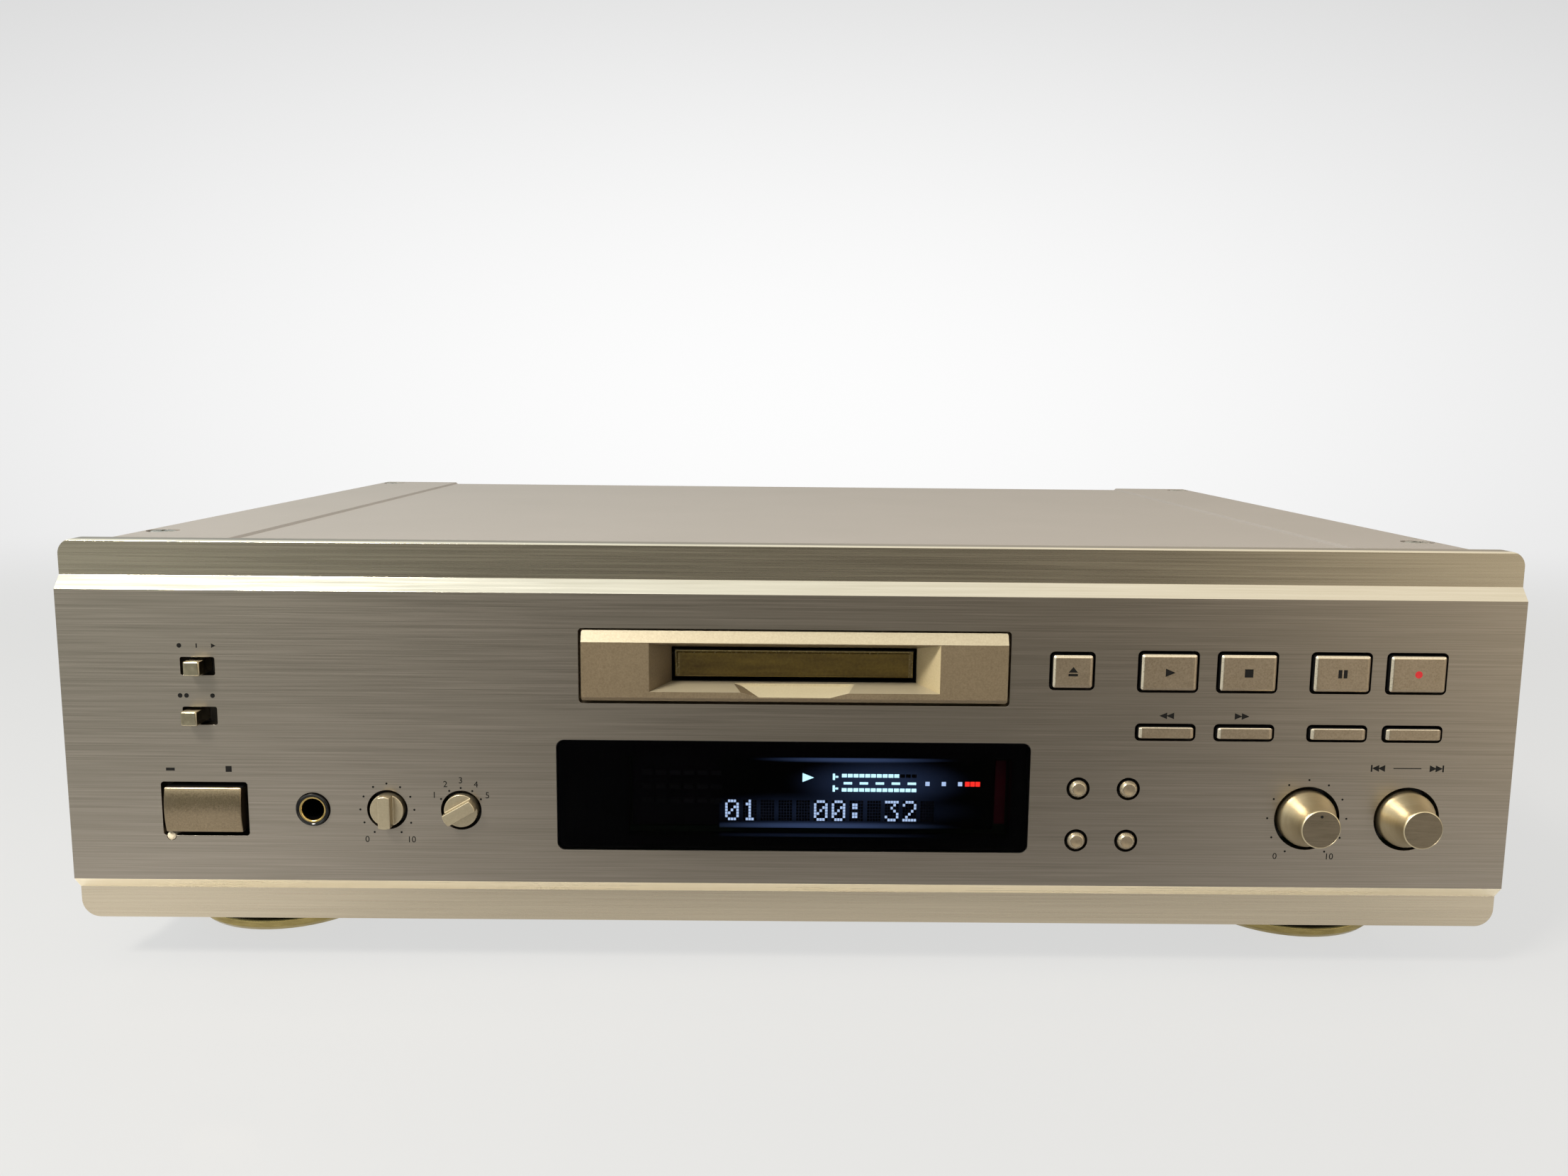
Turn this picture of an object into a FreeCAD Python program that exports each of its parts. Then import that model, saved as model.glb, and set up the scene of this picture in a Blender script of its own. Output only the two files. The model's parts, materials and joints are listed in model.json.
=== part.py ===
import FreeCAD, Part
import math
import os

from FreeCAD import Vector

# A free-standing minidisc recorder for a hi-fi rack. Millimetres, +Z up, front towards -Y.
# Every piece is modelled with Y = 0 on the front plate's face, with heights from the floor.
# save() then moves it back, so that the origin is the bottom centre of the deck's box.

# Front panel: one aluminium extrusion, a raised plate between two rails
panel_width = 434.0
plate_height = 88.7
upper_bevel = 3.8            # height of the slope above the plate
lower_bevel = 3.7
bevel_depth = 3.3            # the rails stand this far behind the plate's face
top_rail = 10.6
bottom_rail = 9.7
rail_thickness = 6.0
web_thickness = 5.0
top_corner = 4.5
bottom_corner = 5.5
rail_edge = 0.5

# Feet
foot_height = 15.5
foot_radius = 30.0
foot_ring_height = 3.7
foot_ring_lip = 2.6
foot_ring_slope = 1.4
foot_ring_edge = 0.4
foot_neck_step = 2.0
foot_inset_x = 44.5          # from the panel's end to a foot's centre
front_foot_y = 57.0
rear_foot_inset = 58.0
foot_pad_height = 0.8
foot_pad_radius = 24.0

# Case
cover_depth = 301.7          # from the back of the front rails to the rear edge
cover_inset = 2.5            # the cover is this much narrower than the panel, at each side
cover_drop = 1.7             # the cover's top lies below the panel's top edge
cover_thickness = 1.6
cover_radius = 3.0
cover_skirt = 6.5            # height of the cover's lower edge above the chassis floor
strip_width = 38.5           # raised strip along each side of the cover
strip_step = 0.8
chassis_thickness = 1.2
chassis_flange = 16.0
rear_thickness = 1.2
rear_recess = 1.2            # the rear panel stands inside the cover's rear edge
bracket_thickness = 1.2
bracket_flange = 12.0
bracket_rib = 6.0
bracket_end_inset = 9.0      # from the bracket's end to its last rib's middle
vent_width = 3.0
vent_length = 46.0
vent_pitch = 8.0
vents_per_group = 8
vent_groups = [(-110.0, 225.0), (110.0, 160.0)]

# Case screws
screw_head_radius = 4.3
screw_head_height = 1.0
screw_shank_radius = 1.95
screw_length = 7.0
screw_clearance = 0.15
screw_pocket = 5.2
screw_inset_x = 8.5          # from the cover's side
front_screw_y = 46.0
rear_screw_inset = 10.0
screw_head_edge = 0.8
side_screw_rise = 14.0       # above the cover's lower edge
side_screw_front_step = 14.0  # behind the front screw on top
side_screw_rear_step = 20.0  # before the rear screw on top
rear_panel_screw_inset_x = 6.0
rear_panel_screw_inset_z = 9.0
rear_panel_screw_x = -20.0   # the one in the middle of the lower edge

# Front board and what it carries
board_gap = 1.5              # between the bracket and the board
board_thickness = 1.6
board_margin = 10.0
board_top_gap = 4.0          # below the plate's upper edge
board_bottom_gap = 2.0
board_notch_gap = 0.4
bracket_window_top = 3.0     # below the plate's upper edge
bracket_window_bottom = 5.0
bracket_boss_inset = 6.0     # from a window's edge
switch_size = 6.0
switch_height = 3.5
plunger_radius = 1.7
plunger_height = 0.3

# Keys: width and height are the cap's, drops count from the plate's upper edge
key_gap = 0.7
key_corner = 1.5
key_edge = 0.6
key_proud = 1.3
key_flange = 1.2
key_flange_thickness = 1.2
key_travel = 1.0
slim_travel = 0.8
stem_radius = 1.5
stem_gap = 0.1
large_key_width = 16.9
large_key_height = 11.3
slim_key_width = 16.8
slim_key_height = 3.9
eject_key_width = 12.2
eject_key_height = 10.3
large_key_drop = 22.05
slim_key_drop = 40.5
# Gaps between the key columns, from the display's end to the panel's. They are shared out again
# in the same proportions when the room between those ends changes.
eject_gap = 5.4
play_gap = 14.05
stop_gap = 6.7
pause_gap = 11.0
record_gap = 5.7
key_end_gap = 22.85
round_key_radius = 3.0
round_key_gap = 0.5
round_key_dish = 1.6
round_key_dish_depth = 0.5
round_key_rim = 0.5
round_key_shoulder = 1.0
left_round_gap = 11.75       # from the display's end
right_round_gap = 9.15
upper_round_drop = 58.15
lower_round_drop = 74.35

# Knobs
knob_gap = 1.3
level_base_radius = 8.6
level_tip_radius = 5.85
level_proud = 10.5
level_edge = 0.4
level_skirt = 1.0            # straight part of the knob before the flare
flare_steps = 6
level_side_gap = 42.9        # from the right round keys
jog_side_gap = 13.0
knob_end_gap = 22.3
level_drop = 66.9
dial_radius = 5.05
dial_proud = 1.0
dial_gap = 1.05
grip_width = 3.7
grip_proud = 4.0
phones_level_gap = 12.25     # from the jack's ring
select_gap = 12.1
display_side_gap = 23.85
select_rest_angle = 60.0
dial_drop = 66.35
knob_seat = 2.5              # how far a knob reaches into the panel
level_shaft_radius = 3.0
dial_shaft_radius = 2.0
shaft_clearance = 0.08
shaft_end_gap = 1.0          # from a knob's shaft to the board
control_floor = 0.8
level_control = 16.0
dial_control = 11.0
control_gap = 4.2            # between a knob's back and its control

# Power button, headphone jack and slide levers at the left end
left_end_gap = 29.3          # from the panel's end to the power button
power_width = 23.0
power_height = 13.8
power_gap = 1.45
power_drop = 66.5
power_edge_proud = 1.2
power_crown = 1.0
power_corner = 1.0
power_travel = 3.0
power_switch_depth = 14.0
power_switch_width = 13.0
power_switch_height = 11.0
power_switch_gap = 0.3
power_tab_width = 18.0
power_tab_thickness = 1.0
power_notch_gap = 0.2
lamp_radius = 1.25
lamp_gap = 0.2
lamp_offset_x = 10.6
lamp_drop = 75.0
lamp_dome = 0.5
jack_side_gap = 15.8         # from the power button to the jack's ring
jack_drop = 66.4
jack_ring_radius = 5.0
jack_ring_proud = 0.9
jack_bore_radius = 3.25
jack_bore_depth = 30.0
jack_body = 15.0
jack_wall = 2.0
slot_width = 10.2
slot_height = 5.5
slot_corner = 0.6
timer_drop = 22.8
record_mode_drop = 37.85
lever_width = 4.7
lever_height = 4.3
lever_proud = 4.5
lever_edge = 0.5
timer_travel = 2.5           # each way from the middle
record_mode_travel = 3.0     # from the left position to the right one
shutter_overlap = 0.6
shutter_height = 8.0
shutter_thickness = 0.8
lever_stem_width = 2.0
lever_stem_gap = 3.0         # from the stem's end to the board
stem_clearance = 0.3
slide_switch_width = 14.0
slide_switch_height = 7.0
slide_switch_depth = 5.0

# Display
display_width = 142.0
display_height = 34.0
display_drop = 61.4
display_corner = 2.4
display_gap = 0.12
display_flange = 3.0
display_flange_thickness = 1.0
tube_left = 49.5             # from the middle
tube_right = 61.0
tube_height = 25.0
tube_drop = 61.0
tube_depth = 4.4
tube_rim = 1.2
sensor_width = 7.0
sensor_height = 9.0
sensor_depth = 4.4
sensor_inset = 9.0           # from the window's left end
sensor_lens_radius = 2.6
sensor_lens_dome = 0.9

# Disc slot: a moulded bezel with a splayed mouth, and a flap hung inside it
middle_x = 0.5
bezel_width = 127.0
bezel_height = 21.4
bezel_drop = 21.7
bezel_gap = 0.65
bezel_corner = 1.2
bezel_proud = 1.5
bezel_slope = 3.0            # height of the bright slope along the top
bezel_chamfer = 1.2
bezel_flange = 4.0
bezel_flange_thickness = 2.0
mouth_width = 86.2
mouth_height = 14.9
mouth_drop = 21.65
throat_width = 74.6
throat_height = 10.7
throat_drop = 22.85
throat_depth = 10.0
tunnel_wall = 2.5
tunnel_length = 24.0
scoop_top = 32.0
scoop_bottom = 20.0
scoop_depth = 1.9
scoop_reach = 8.0
flap_side_gap = 0.3
flap_bottom_gap = 0.7
flap_top_gap = 0.3
flap_thickness = 1.6
flap_barrel = 1.1
flap_pin = 1.0
flap_pin_length = 2.2
flap_pin_clearance = 0.06
flap_border = 1.2
flap_groove = 0.4
flap_groove_depth = 0.3

# Disc holder: a folded sheet tray that takes a 72 x 68 x 5 cartridge
cartridge_width = 72.0
cartridge_length = 68.0
cartridge_height = 5.0
cartridge_gap = 0.6
holder_thickness = 0.8
holder_lip = 8.0
holder_front_gap = 1.0       # behind the bezel's tunnel
holder_drop = 5.0            # from the slot's level to the playing level
ramp_angle = 30.0
pin_radius = 1.3
pin_clearance = 0.25
front_pin_y = 15.0           # from the holder's front edge
rear_pin_y = 55.0
throat_floor_gap = 0.7       # between the slot's floor and a cartridge
stop_width = 12.0
stop_inset = 10.0            # from the tray's side to a stop's middle
head_window_front = 12.0     # before the spindle
head_window_rear = 17.0
pin_reach = 0.8              # past the guide wall

# Loading slider, its rack and the gears that drive it
slider_gap = 0.8
slider_thickness = 1.2
slider_length = 76.5
strip_height = 2.7
slider_setback = 9.0         # behind the holder's front edge
base_wall_gap = 0.6
rack_module = 0.8
small_gear_teeth = 12
gear_module = 0.5
large_gear_teeth = 30
pinion_teeth = 10
gear_height = 2.0
slider_lift = 0.3
mesh_clearance = 0.15
gear_post_radius = 1.5
gear_post_rise = 1.2         # above the large wheel
gear_lift = 0.2              # above the slider's underside
small_gear_rise = 0.5        # above the rack
rear_strip_inset = 5.0       # from the slider's rear end
cam_end_gap = 6.0            # between a cam plate's end and the small wheel
rack_lead = 2.6              # rack in front of the gear's centre
gear_setback = 74.0          # from the slider's front edge

# Recording mechanism under the holder
base_thickness = 1.6
base_margin = 15.5           # from the loading motor's axis to the plate's edge
base_wall = 1.2
base_wall_height = 15.0
base_gap = 1.9               # between the base and the lowered holder
base_lead = 2.0              # behind the holder's front edge
base_wall_rear = 5.0         # behind the rear pin
leg_inset = 6.0              # from the plate's edge to a leg's axis
front_leg_setback = 8.0      # from the plate's front edge
side_leg_lead = 9.0          # before the spindle
rear_leg_setback = 8.8       # behind the loading motor's axis
spindle_setback = 35.3       # from the holder's front edge
motor_radius = 11.0
motor_height = 10.0
motor_floor = 1.0
load_motor_radius = 7.0
motor_shaft_depth = 4.0
shaft_bottom_gap = 0.2
platter_gap = 0.4
platter_height = 3.0
chuck_rise = 1.6             # above the lowered holder's floor
chuck_point = 1.5
turntable_radius = 8.0
turntable_gap = 0.8          # round the turntable and the spindle motor
pinion_hole_radius = 1.5
chuck_radius = 4.5
spindle_radius = 1.0
track_inner = 14.5
sled_travel = 16.5
sled_width = 24.0
sled_half_height = 4.0
sled_overhang = 4.0          # past each guide shaft
sled_lens_inset = 8.5        # from the sled's left side to the lens
sled_left_room = 18.0
sled_end_gap = 0.5
lens_window_gap = 6.5
lens_window_length = 18.0
guide_spacing = 16.0
guide_radius = 1.5
guide_drop = 6.4             # below the base plate
screw_radius = 1.6
lead_screw_offset = 24.0
lug = 3.0
lug_width = 8.0
lug_drop = 4.0               # below the shafts' axis
follower_width = 8.0
follower_reach = 3.5
follower_half_height = 3.0
lens_radius = 2.2
lens_rise = 0.7
turret_inner = 2.8           # from the lens towards the spindle
turret_outer = 4.5
turret_length = 12.0
turret_rise = 0.6            # above the base plate
can_radius = 6.0
can_length = 14.0
arm_width = 5.0
arm_height = 1.2
arm_clearance = 2.6          # above the raised holder
head_size = 6.0
head_height = 1.7
arm_post_width = 7.0
arm_post_half_depth = 2.0
arm_post_rise = 1.6          # above the arm's pivot
arm_post_foot = 1.2
arm_pivot_gap = 3.5          # behind the slider
arm_front = 3.0              # before the spindle
yoke_front = 5.5             # before the pivot
yoke_rear = 3.6
cheek_gap = 0.3
cheek_thickness = 1.0
bracket_table_height = 42.0  # above the chassis floor
table_margin = 2.0           # wider than the base plate, at each side
table_foot = 10.0
table_opening = (-30.0, 45.0)
table_opening_margin = 16.0
damper_radius = 6.0
damper_height = 7.0
damper_waist = 2.0
damper_collar = 2.0
leg_radius = 4.0

# Boards, transformer and sockets
standoff_height = 8.0
standoff_radius = 3.0
standoff_inset = 6.0
board_side_gap = 8.0         # from the chassis side to a main or power board
board_rear_gap = 24.0
rear_board_depth = 96.0
power_board_width = 128.0
main_board_width = 128.0
main_board_depth = 170.0
chips = [(30.0, 40.0, 28.0), (74.0, 44.0, 20.0), (34.0, 96.0, 24.0), (80.0, 104.0, 16.0), (52.0, 140.0, 22.0)]
chip_height = 3.0
can_count = 6
can_place = (108.0, 30.0)    # of the first small capacitor on the main board
can_pitch = 22.0
small_can_radius = 5.0
small_can_height = 12.0
socket_board_gap = 20.0
core_width = 66.0
core_depth = 44.0
core_height = 55.0
coil_overhang = 11.0
transformer_inset = 60.9     # from the chassis side to the core's middle
transformer_y = 120.0
foot_plate_overhang = 9.0
foot_plate_inset = 6.0
foot_plate_thickness = 2.0
coil_margin = 11.0           # of core above and below the winding
capacitor_radius = 9.0
capacitor_height = 32.0
capacitor_place = (24.0, 20.0)
capacitor_pitch = (24.0, 26.0)
fin_count = 7
fin_pitch = 7.0
fin_thickness = 2.0
fin_height = 40.0
fin_front = 12.0
fin_depth = 18.0
sink_place = 74.0
sink_thickness = 3.0
sleeve_radius = 4.15
sleeve_bore = 1.7
sleeve_length = 9.0
sleeve_clearance = 0.6
sleeve_pitch_x = 15.0
sleeve_pitch_z = 18.0
sleeve_bore_depth = 4.0      # behind the panel's face
analog_inset = 62.9          # from the chassis side
coax_step = 58.0             # from the analogue sockets, towards the middle
optical_step = 32.0
socket_height = 48.0         # of the sockets' centre above the chassis floor
optical_width = 13.6
optical_height = 11.0
optical_mouth = 9.0
optical_depth = 9.0
optical_proud = 0.6
socket_gap = 0.3
socket_end_margin = 2.0
inlet_inset = 42.9           # from the chassis side
inlet_height = 30.0
inlet_flange_width = 31.0
inlet_flange_height = 17.0
inlet_flange_thickness = 1.5
inlet_width = 24.0
inlet_body_height = 13.0
inlet_mouth_radius = 4.5
inlet_mouth_spacing = 8.4
inlet_waist = 6.4
inlet_mouth_depth = 12.0
inlet_pin_radius = 1.15
inlet_pin_length = 9.0
inlet_flange_corner = 2.0
inlet_floor = 3.0

# Places that follow from the sizes
half_width = panel_width / 2
panel_bottom = foot_height
plate_bottom = panel_bottom + bottom_rail + lower_bevel
plate_top = plate_bottom + plate_height
panel_top = plate_top + upper_bevel + top_rail


def span(centre, size):
    return (centre - size / 2, centre + size / 2)


def grown(pair, gap):
    return (pair[0] - gap, pair[1] + gap)


def below(drop):
    return plate_top - drop


def corners(x, z):
    return [(a, b) for a in x for b in z]


def spread(start, end, gaps, widths):
    """The middles of pieces set side by side, with the spare room shared out as the gaps are."""
    share = (end - start - sum(widths)) / sum(gaps)
    middles = []
    for gap, width in zip(gaps, widths):
        middles.append(start + gap * share + width / 2)
        start += gap * share + width
    return middles


rail_back = bevel_depth + rail_thickness
cover_half = half_width - cover_inset
cover_top = panel_top - cover_drop
cover_rear = rail_back + cover_depth
chassis_half = cover_half - cover_thickness
chassis_top = cover_top - cover_thickness
floor_top = panel_bottom + chassis_thickness
cover_bottom = floor_top + cover_skirt
rear_face = cover_rear - rear_recess
rear_inner = rear_face - rear_thickness
bracket_back = rail_back + bracket_thickness
board_front = bracket_back + board_gap
board_back = board_front + board_thickness
key_back = web_thickness + key_flange_thickness
plunger_front = board_front - switch_height - plunger_height
front_screws = [(side * (cover_half - screw_inset_x), front_screw_y) for side in (-1, 1)]
rear_screws = [(side * (cover_half - screw_inset_x), cover_rear - rear_screw_inset) for side in (-1, 1)]
side_screw_z = cover_bottom + side_screw_rise
side_screws = [(side, y) for side in (-1, 1)
               for y in (front_screw_y + side_screw_front_step, rear_screws[0][1] - side_screw_rear_step)]
rear_panel_screws = corners(grown((-chassis_half, chassis_half), -rear_panel_screw_inset_x),
                            grown((floor_top, chassis_top), -rear_panel_screw_inset_z))
rear_panel_screws.append((rear_panel_screw_x, floor_top + rear_panel_screw_inset_z))
feet = [(side * (half_width - foot_inset_x), y)
        for side in (-1, 1) for y in (front_foot_y, cover_rear - rear_foot_inset)]

display_x = span(middle_x, display_width)
display_z = span(below(display_drop), display_height)
key_gaps = [eject_gap, play_gap, stop_gap, pause_gap, record_gap, key_end_gap]
eject_x, play_x, stop_x, pause_x, record_x = spread(
    display_x[1], half_width, key_gaps, [eject_key_width] + [large_key_width] * 4)
left_round_x, right_round_x, level_x, jog_x = spread(
    display_x[1], half_width, [left_round_gap, right_round_gap, level_side_gap, jog_side_gap, knob_end_gap],
    [2 * round_key_radius] * 2 + [2 * level_base_radius] * 2)
left_x, jack_x, phones_level_x, select_x = spread(
    -half_width, display_x[0], [left_end_gap, jack_side_gap, phones_level_gap, select_gap, display_side_gap],
    [power_width, 2 * jack_ring_radius] + [2 * dial_radius] * 2)
lamp_x = left_x - lamp_offset_x

# Keys as (node, x, z, width, height, travel)
large_z, slim_z = below(large_key_drop), below(slim_key_drop)
square_keys = [("eject_button", eject_x, large_z, eject_key_width, eject_key_height, key_travel)]
square_keys += [(node, x, large_z, large_key_width, large_key_height, key_travel)
                for node, x in (("play_button", play_x), ("stop_button", stop_x), ("pause_button", pause_x),
                                ("record_button", record_x))]
square_keys += [(node, x, slim_z, slim_key_width, slim_key_height, slim_travel)
                for node, x in (("rewind_button", play_x), ("forward_button", stop_x),
                                ("edit_button", pause_x), ("enter_button", record_x))]
round_keys = [("character_button", left_round_x, below(upper_round_drop)),
              ("clear_button", right_round_x, below(upper_round_drop)),
              ("monitor_button", left_round_x, below(lower_round_drop)),
              ("reset_button", right_round_x, below(lower_round_drop))]
level_knobs = [("input_level_knob", level_x), ("jog_knob", jog_x)]
dials = [("phones_level_knob", phones_level_x, 0.0), ("input_select_knob", select_x, select_rest_angle)]
# Slide levers as (node, drop, place in the slot at rest, travel to the left, travel to the right)
levers = [("timer_lever", timer_drop, 0.0, timer_travel, timer_travel),
          ("record_mode_lever", record_mode_drop, -record_mode_travel / 2, 0.0, record_mode_travel)]
bezel_x = span(middle_x, bezel_width)
bezel_z = span(below(bezel_drop), bezel_height)
power_x = span(left_x, power_width)
power_z = span(below(power_drop), power_height)
throat_x = span(middle_x, throat_width)
throat_z = span(below(throat_drop), throat_height)
flap_axis_y = throat_depth + flap_barrel
flap_axis_z = throat_z[1] - flap_top_gap - flap_barrel

holder_front = tunnel_length + holder_front_gap
holder_inner_half = cartridge_width / 2 + cartridge_gap
holder_half = holder_inner_half + holder_thickness
holder_rear = holder_front + cartridge_length + cartridge_gap + holder_thickness
cartridge_floor = throat_z[0] + throat_floor_gap
holder_floor = cartridge_floor - holder_thickness
holder_top = cartridge_floor + cartridge_height + cartridge_gap + holder_thickness
pin_z = (holder_floor + holder_top) / 2
pin_rows = [holder_front + front_pin_y, holder_front + rear_pin_y]
slide_travel = holder_drop / math.tan(math.radians(ramp_angle))
slider_half = holder_half + slider_gap
slider_outer = slider_half + slider_thickness
wall_inner = slider_outer + base_wall_gap
wall_outer = wall_inner + base_wall
base_top = holder_floor - holder_drop - base_gap
base_bottom = base_top - base_thickness
base_front = holder_front + base_lead
slider_front = holder_front + slider_setback
slider_rear = slider_front + slider_length
slider_bottom = base_top + slider_lift
spindle_y = holder_front + spindle_setback
axis_z = base_bottom - guide_drop    # height of the guide shafts and the lead screw
guide_rows = [spindle_y - guide_spacing, spindle_y + guide_spacing]
lead_screw_y = spindle_y - lead_screw_offset
pitch_radius = rack_module * small_gear_teeth / 2
large_gear_radius = gear_module * large_gear_teeth / 2
pinion_radius = gear_module * pinion_teeth / 2
rack_line = slider_outer + 1.25 * rack_module
gear_x = middle_x + rack_line + pitch_radius + mesh_clearance
gear_y = slider_front + gear_setback - slide_travel
gear_low = slider_bottom + gear_lift
small_gear_height = strip_height + small_gear_rise
pinion_distance = large_gear_radius + pinion_radius + mesh_clearance
pinion_x = gear_x + pinion_distance * math.cos(math.radians(45))
pinion_y = gear_y - pinion_distance * math.sin(math.radians(45))
arm_pivot_y = slider_rear + arm_pivot_gap
arm_z = holder_top + arm_clearance
table_top = floor_top + bracket_table_height
base_half = pinion_x - middle_x + base_margin
rear_leg_y = pinion_y + rear_leg_setback
base_rear = rear_leg_y + leg_inset
leg_x = base_half - leg_inset
legs = [(-leg_x, base_front + front_leg_setback), (-leg_x, rear_leg_y),
        (leg_x, spindle_y - side_leg_lead), (leg_x, rear_leg_y)]
table_half = base_half + table_margin
sled_left = track_inner - sled_lens_inset
guide_left = sled_left - sled_left_room
guide_right = sled_left + sled_width + sled_travel + sled_end_gap
head_window = (track_inner - head_size, track_inner + sled_travel + head_size - 1.0)
transformer_x = -chassis_half + transformer_inset
inlet_x = -chassis_half + inlet_inset
analog_x = chassis_half - analog_inset
coax_x = analog_x - coax_step
optical_x = coax_x - optical_step
socket_z = floor_top + socket_height
analog_places = corners(span(analog_x, sleeve_pitch_x), span(socket_z, sleeve_pitch_z))
coax_places = [(coax_x, z) for z in span(socket_z, sleeve_pitch_z)]
optical_places = [(optical_x, z) for z in span(socket_z, sleeve_pitch_z)]


def block(x, y, z):
    """A box from three (low, high) pairs."""
    return Part.makeBox(x[1] - x[0], y[1] - y[0], z[1] - z[0], Vector(x[0], y[0], z[0]))


def rod_x(radius, y, z, start, end):
    return Part.makeCylinder(radius, end - start, Vector(start, y, z), Vector(1, 0, 0))


def rod_y(radius, x, z, start, end):
    return Part.makeCylinder(radius, end - start, Vector(x, start, z), Vector(0, 1, 0))


def rod_z(radius, x, y, start, end):
    return Part.makeCylinder(radius, end - start, Vector(x, y, start), Vector(0, 0, 1))


def prism_x(outline, start, end):
    """A (y, z) outline drawn out along X."""
    face = Part.Face(Part.makePolygon([Vector(start, y, z) for y, z in outline + outline[:1]]))
    return face.extrude(Vector(end - start, 0, 0))


def prism_y(outline, start, end):
    """An (x, z) outline drawn out along Y."""
    face = Part.Face(Part.makePolygon([Vector(x, start, z) for x, z in outline + outline[:1]]))
    return face.extrude(Vector(0, end - start, 0))


def prism_z(outline, start, end):
    """An (x, y) outline drawn out along Z."""
    face = Part.Face(Part.makePolygon([Vector(x, y, start) for x, y in outline + outline[:1]]))
    return face.extrude(Vector(0, 0, end - start))


def turned(outline, base, axis):
    """A (radius, distance) outline turned about an axis through base."""
    side = Vector(1, 0, 0) if abs(axis.x) < 0.5 else Vector(0, 0, 1)
    points = [base + side * radius + axis * distance for radius, distance in outline]
    face = Part.Face(Part.makePolygon(points + points[:1]))
    return face.revolve(base, axis, 360)


def turned_y(outline, x, z):
    return turned(outline, Vector(x, 0, z), Vector(0, 1, 0))


def turned_z(outline, x, y):
    return turned(outline, Vector(x, y, 0), Vector(0, 0, 1))


def parallel_edges(shape, axis, places, reach=0.01):
    """The edges along one axis that pass through the given places across it."""
    across = [Vector(*[float(i == j) for j in range(3)]) for i in range(3) if not axis[i]]
    found = []
    for edge in shape.Edges:
        line = edge.Vertexes[-1].Point - edge.Vertexes[0].Point
        if line.Length < reach or abs(line.normalize().dot(Vector(*axis))) < 0.999:
            continue
        spot = [edge.Vertexes[0].Point.dot(direction) for direction in across]
        if any(abs(spot[0] - a) < reach and abs(spot[1] - b) < reach for a, b in places):
            found.append(edge)
    return found


def rounded_block_y(x, z, y, radius):
    """A box with its four corners rounded, seen from the front."""
    solid = block(x, y, z)
    return solid.makeFillet(radius, parallel_edges(solid, (0, 1, 0), corners(x, z)))


def join(pieces):
    return pieces[0].multiFuse(pieces[1:]).removeSplitter()


def cut(solid, tools):
    return solid.cut(Part.makeCompound(tools)) if tools else solid


def group(pieces):
    return Part.makeCompound(pieces)


def front_panel():
    outline = [(0, plate_bottom), (0, plate_top), (bevel_depth, plate_top + upper_bevel),
               (bevel_depth, panel_top - rail_edge), (bevel_depth + rail_edge, panel_top),
               (rail_back, panel_top), (rail_back, plate_top), (web_thickness, plate_top),
               (web_thickness, plate_bottom), (rail_back, plate_bottom), (rail_back, panel_bottom),
               (bevel_depth, panel_bottom), (bevel_depth, plate_bottom - lower_bevel)]
    extrusion = prism_x(outline, -half_width, half_width)
    ends = (-half_width, half_width)
    slab = block(ends, (-1, rail_back + 1), (panel_bottom, panel_top))
    slab = slab.makeFillet(top_corner, parallel_edges(slab, (0, 1, 0), corners(ends, [panel_top])))
    slab = slab.makeFillet(bottom_corner, parallel_edges(slab, (0, 1, 0), corners(ends, [panel_bottom])))
    through = (-1, web_thickness + 1)
    holes = [rounded_block_y(grown(span(x, width), key_gap), grown(span(z, height), key_gap), through,
                             key_corner) for _, x, z, width, height, _ in square_keys]
    holes += [rod_y(round_key_radius + round_key_gap, x, z, *through) for _, x, z in round_keys]
    holes += [rod_y(level_base_radius + knob_gap, x, below(level_drop), *through) for _, x in level_knobs]
    holes += [rod_y(dial_radius + dial_gap, x, below(dial_drop), *through) for _, x, _ in dials]
    holes += [rounded_block_y(span(left_x, slot_width), span(below(drop), slot_height), through,
                              slot_corner) for _, drop, *_ in levers]
    holes.append(rod_y(lamp_radius + lamp_gap, lamp_x, below(lamp_drop), *through))
    holes.append(rod_y(jack_ring_radius + lamp_gap, jack_x, below(jack_drop), *through))
    holes += [rounded_block_y(grown(x, gap), grown(z, gap), through, corner)
              for x, z, gap, corner in ((power_x, power_z, power_gap, power_corner),
                                        (bezel_x, bezel_z, bezel_gap, bezel_corner),
                                        (display_x, display_z, display_gap, display_corner))]
    return cut(extrusion.common(slab), holes)


def square_key(x, z, width, height, travel):
    """A cap that fills its hole, a flange that stops behind the panel and a stem to its switch."""
    cap = rounded_block_y(span(x, width), span(z, height), (-key_proud, web_thickness), key_corner - key_gap)
    front = [edge for edge in cap.Edges if edge.BoundBox.YMax < -key_proud + 0.01]
    cap = cap.makeFillet(key_edge, front)
    flange = block(grown(span(x, width), key_flange), (web_thickness, key_back),
                   grown(span(z, height), key_flange))
    stem = rod_y(stem_radius, x, z, key_back, plunger_front - travel - stem_gap)
    return join([cap, flange, stem])


def round_key(x, z):
    radius = round_key_radius
    flange = radius + round_key_gap + key_flange
    end = plunger_front - slim_travel - stem_gap
    dish, rim, front = round_key_dish, round_key_rim, -key_proud
    dome = [(0, front + round_key_dish_depth), (dish, front + 0.2 * round_key_dish_depth),
            (dish + rim, front), (radius - rim, front + 0.35 * round_key_shoulder),
            (radius, front + round_key_shoulder),
            (radius, web_thickness), (flange, web_thickness), (flange, key_back), (stem_radius, key_back),
            (stem_radius, end), (0, end)]
    return turned_y(dome, x, z)


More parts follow.
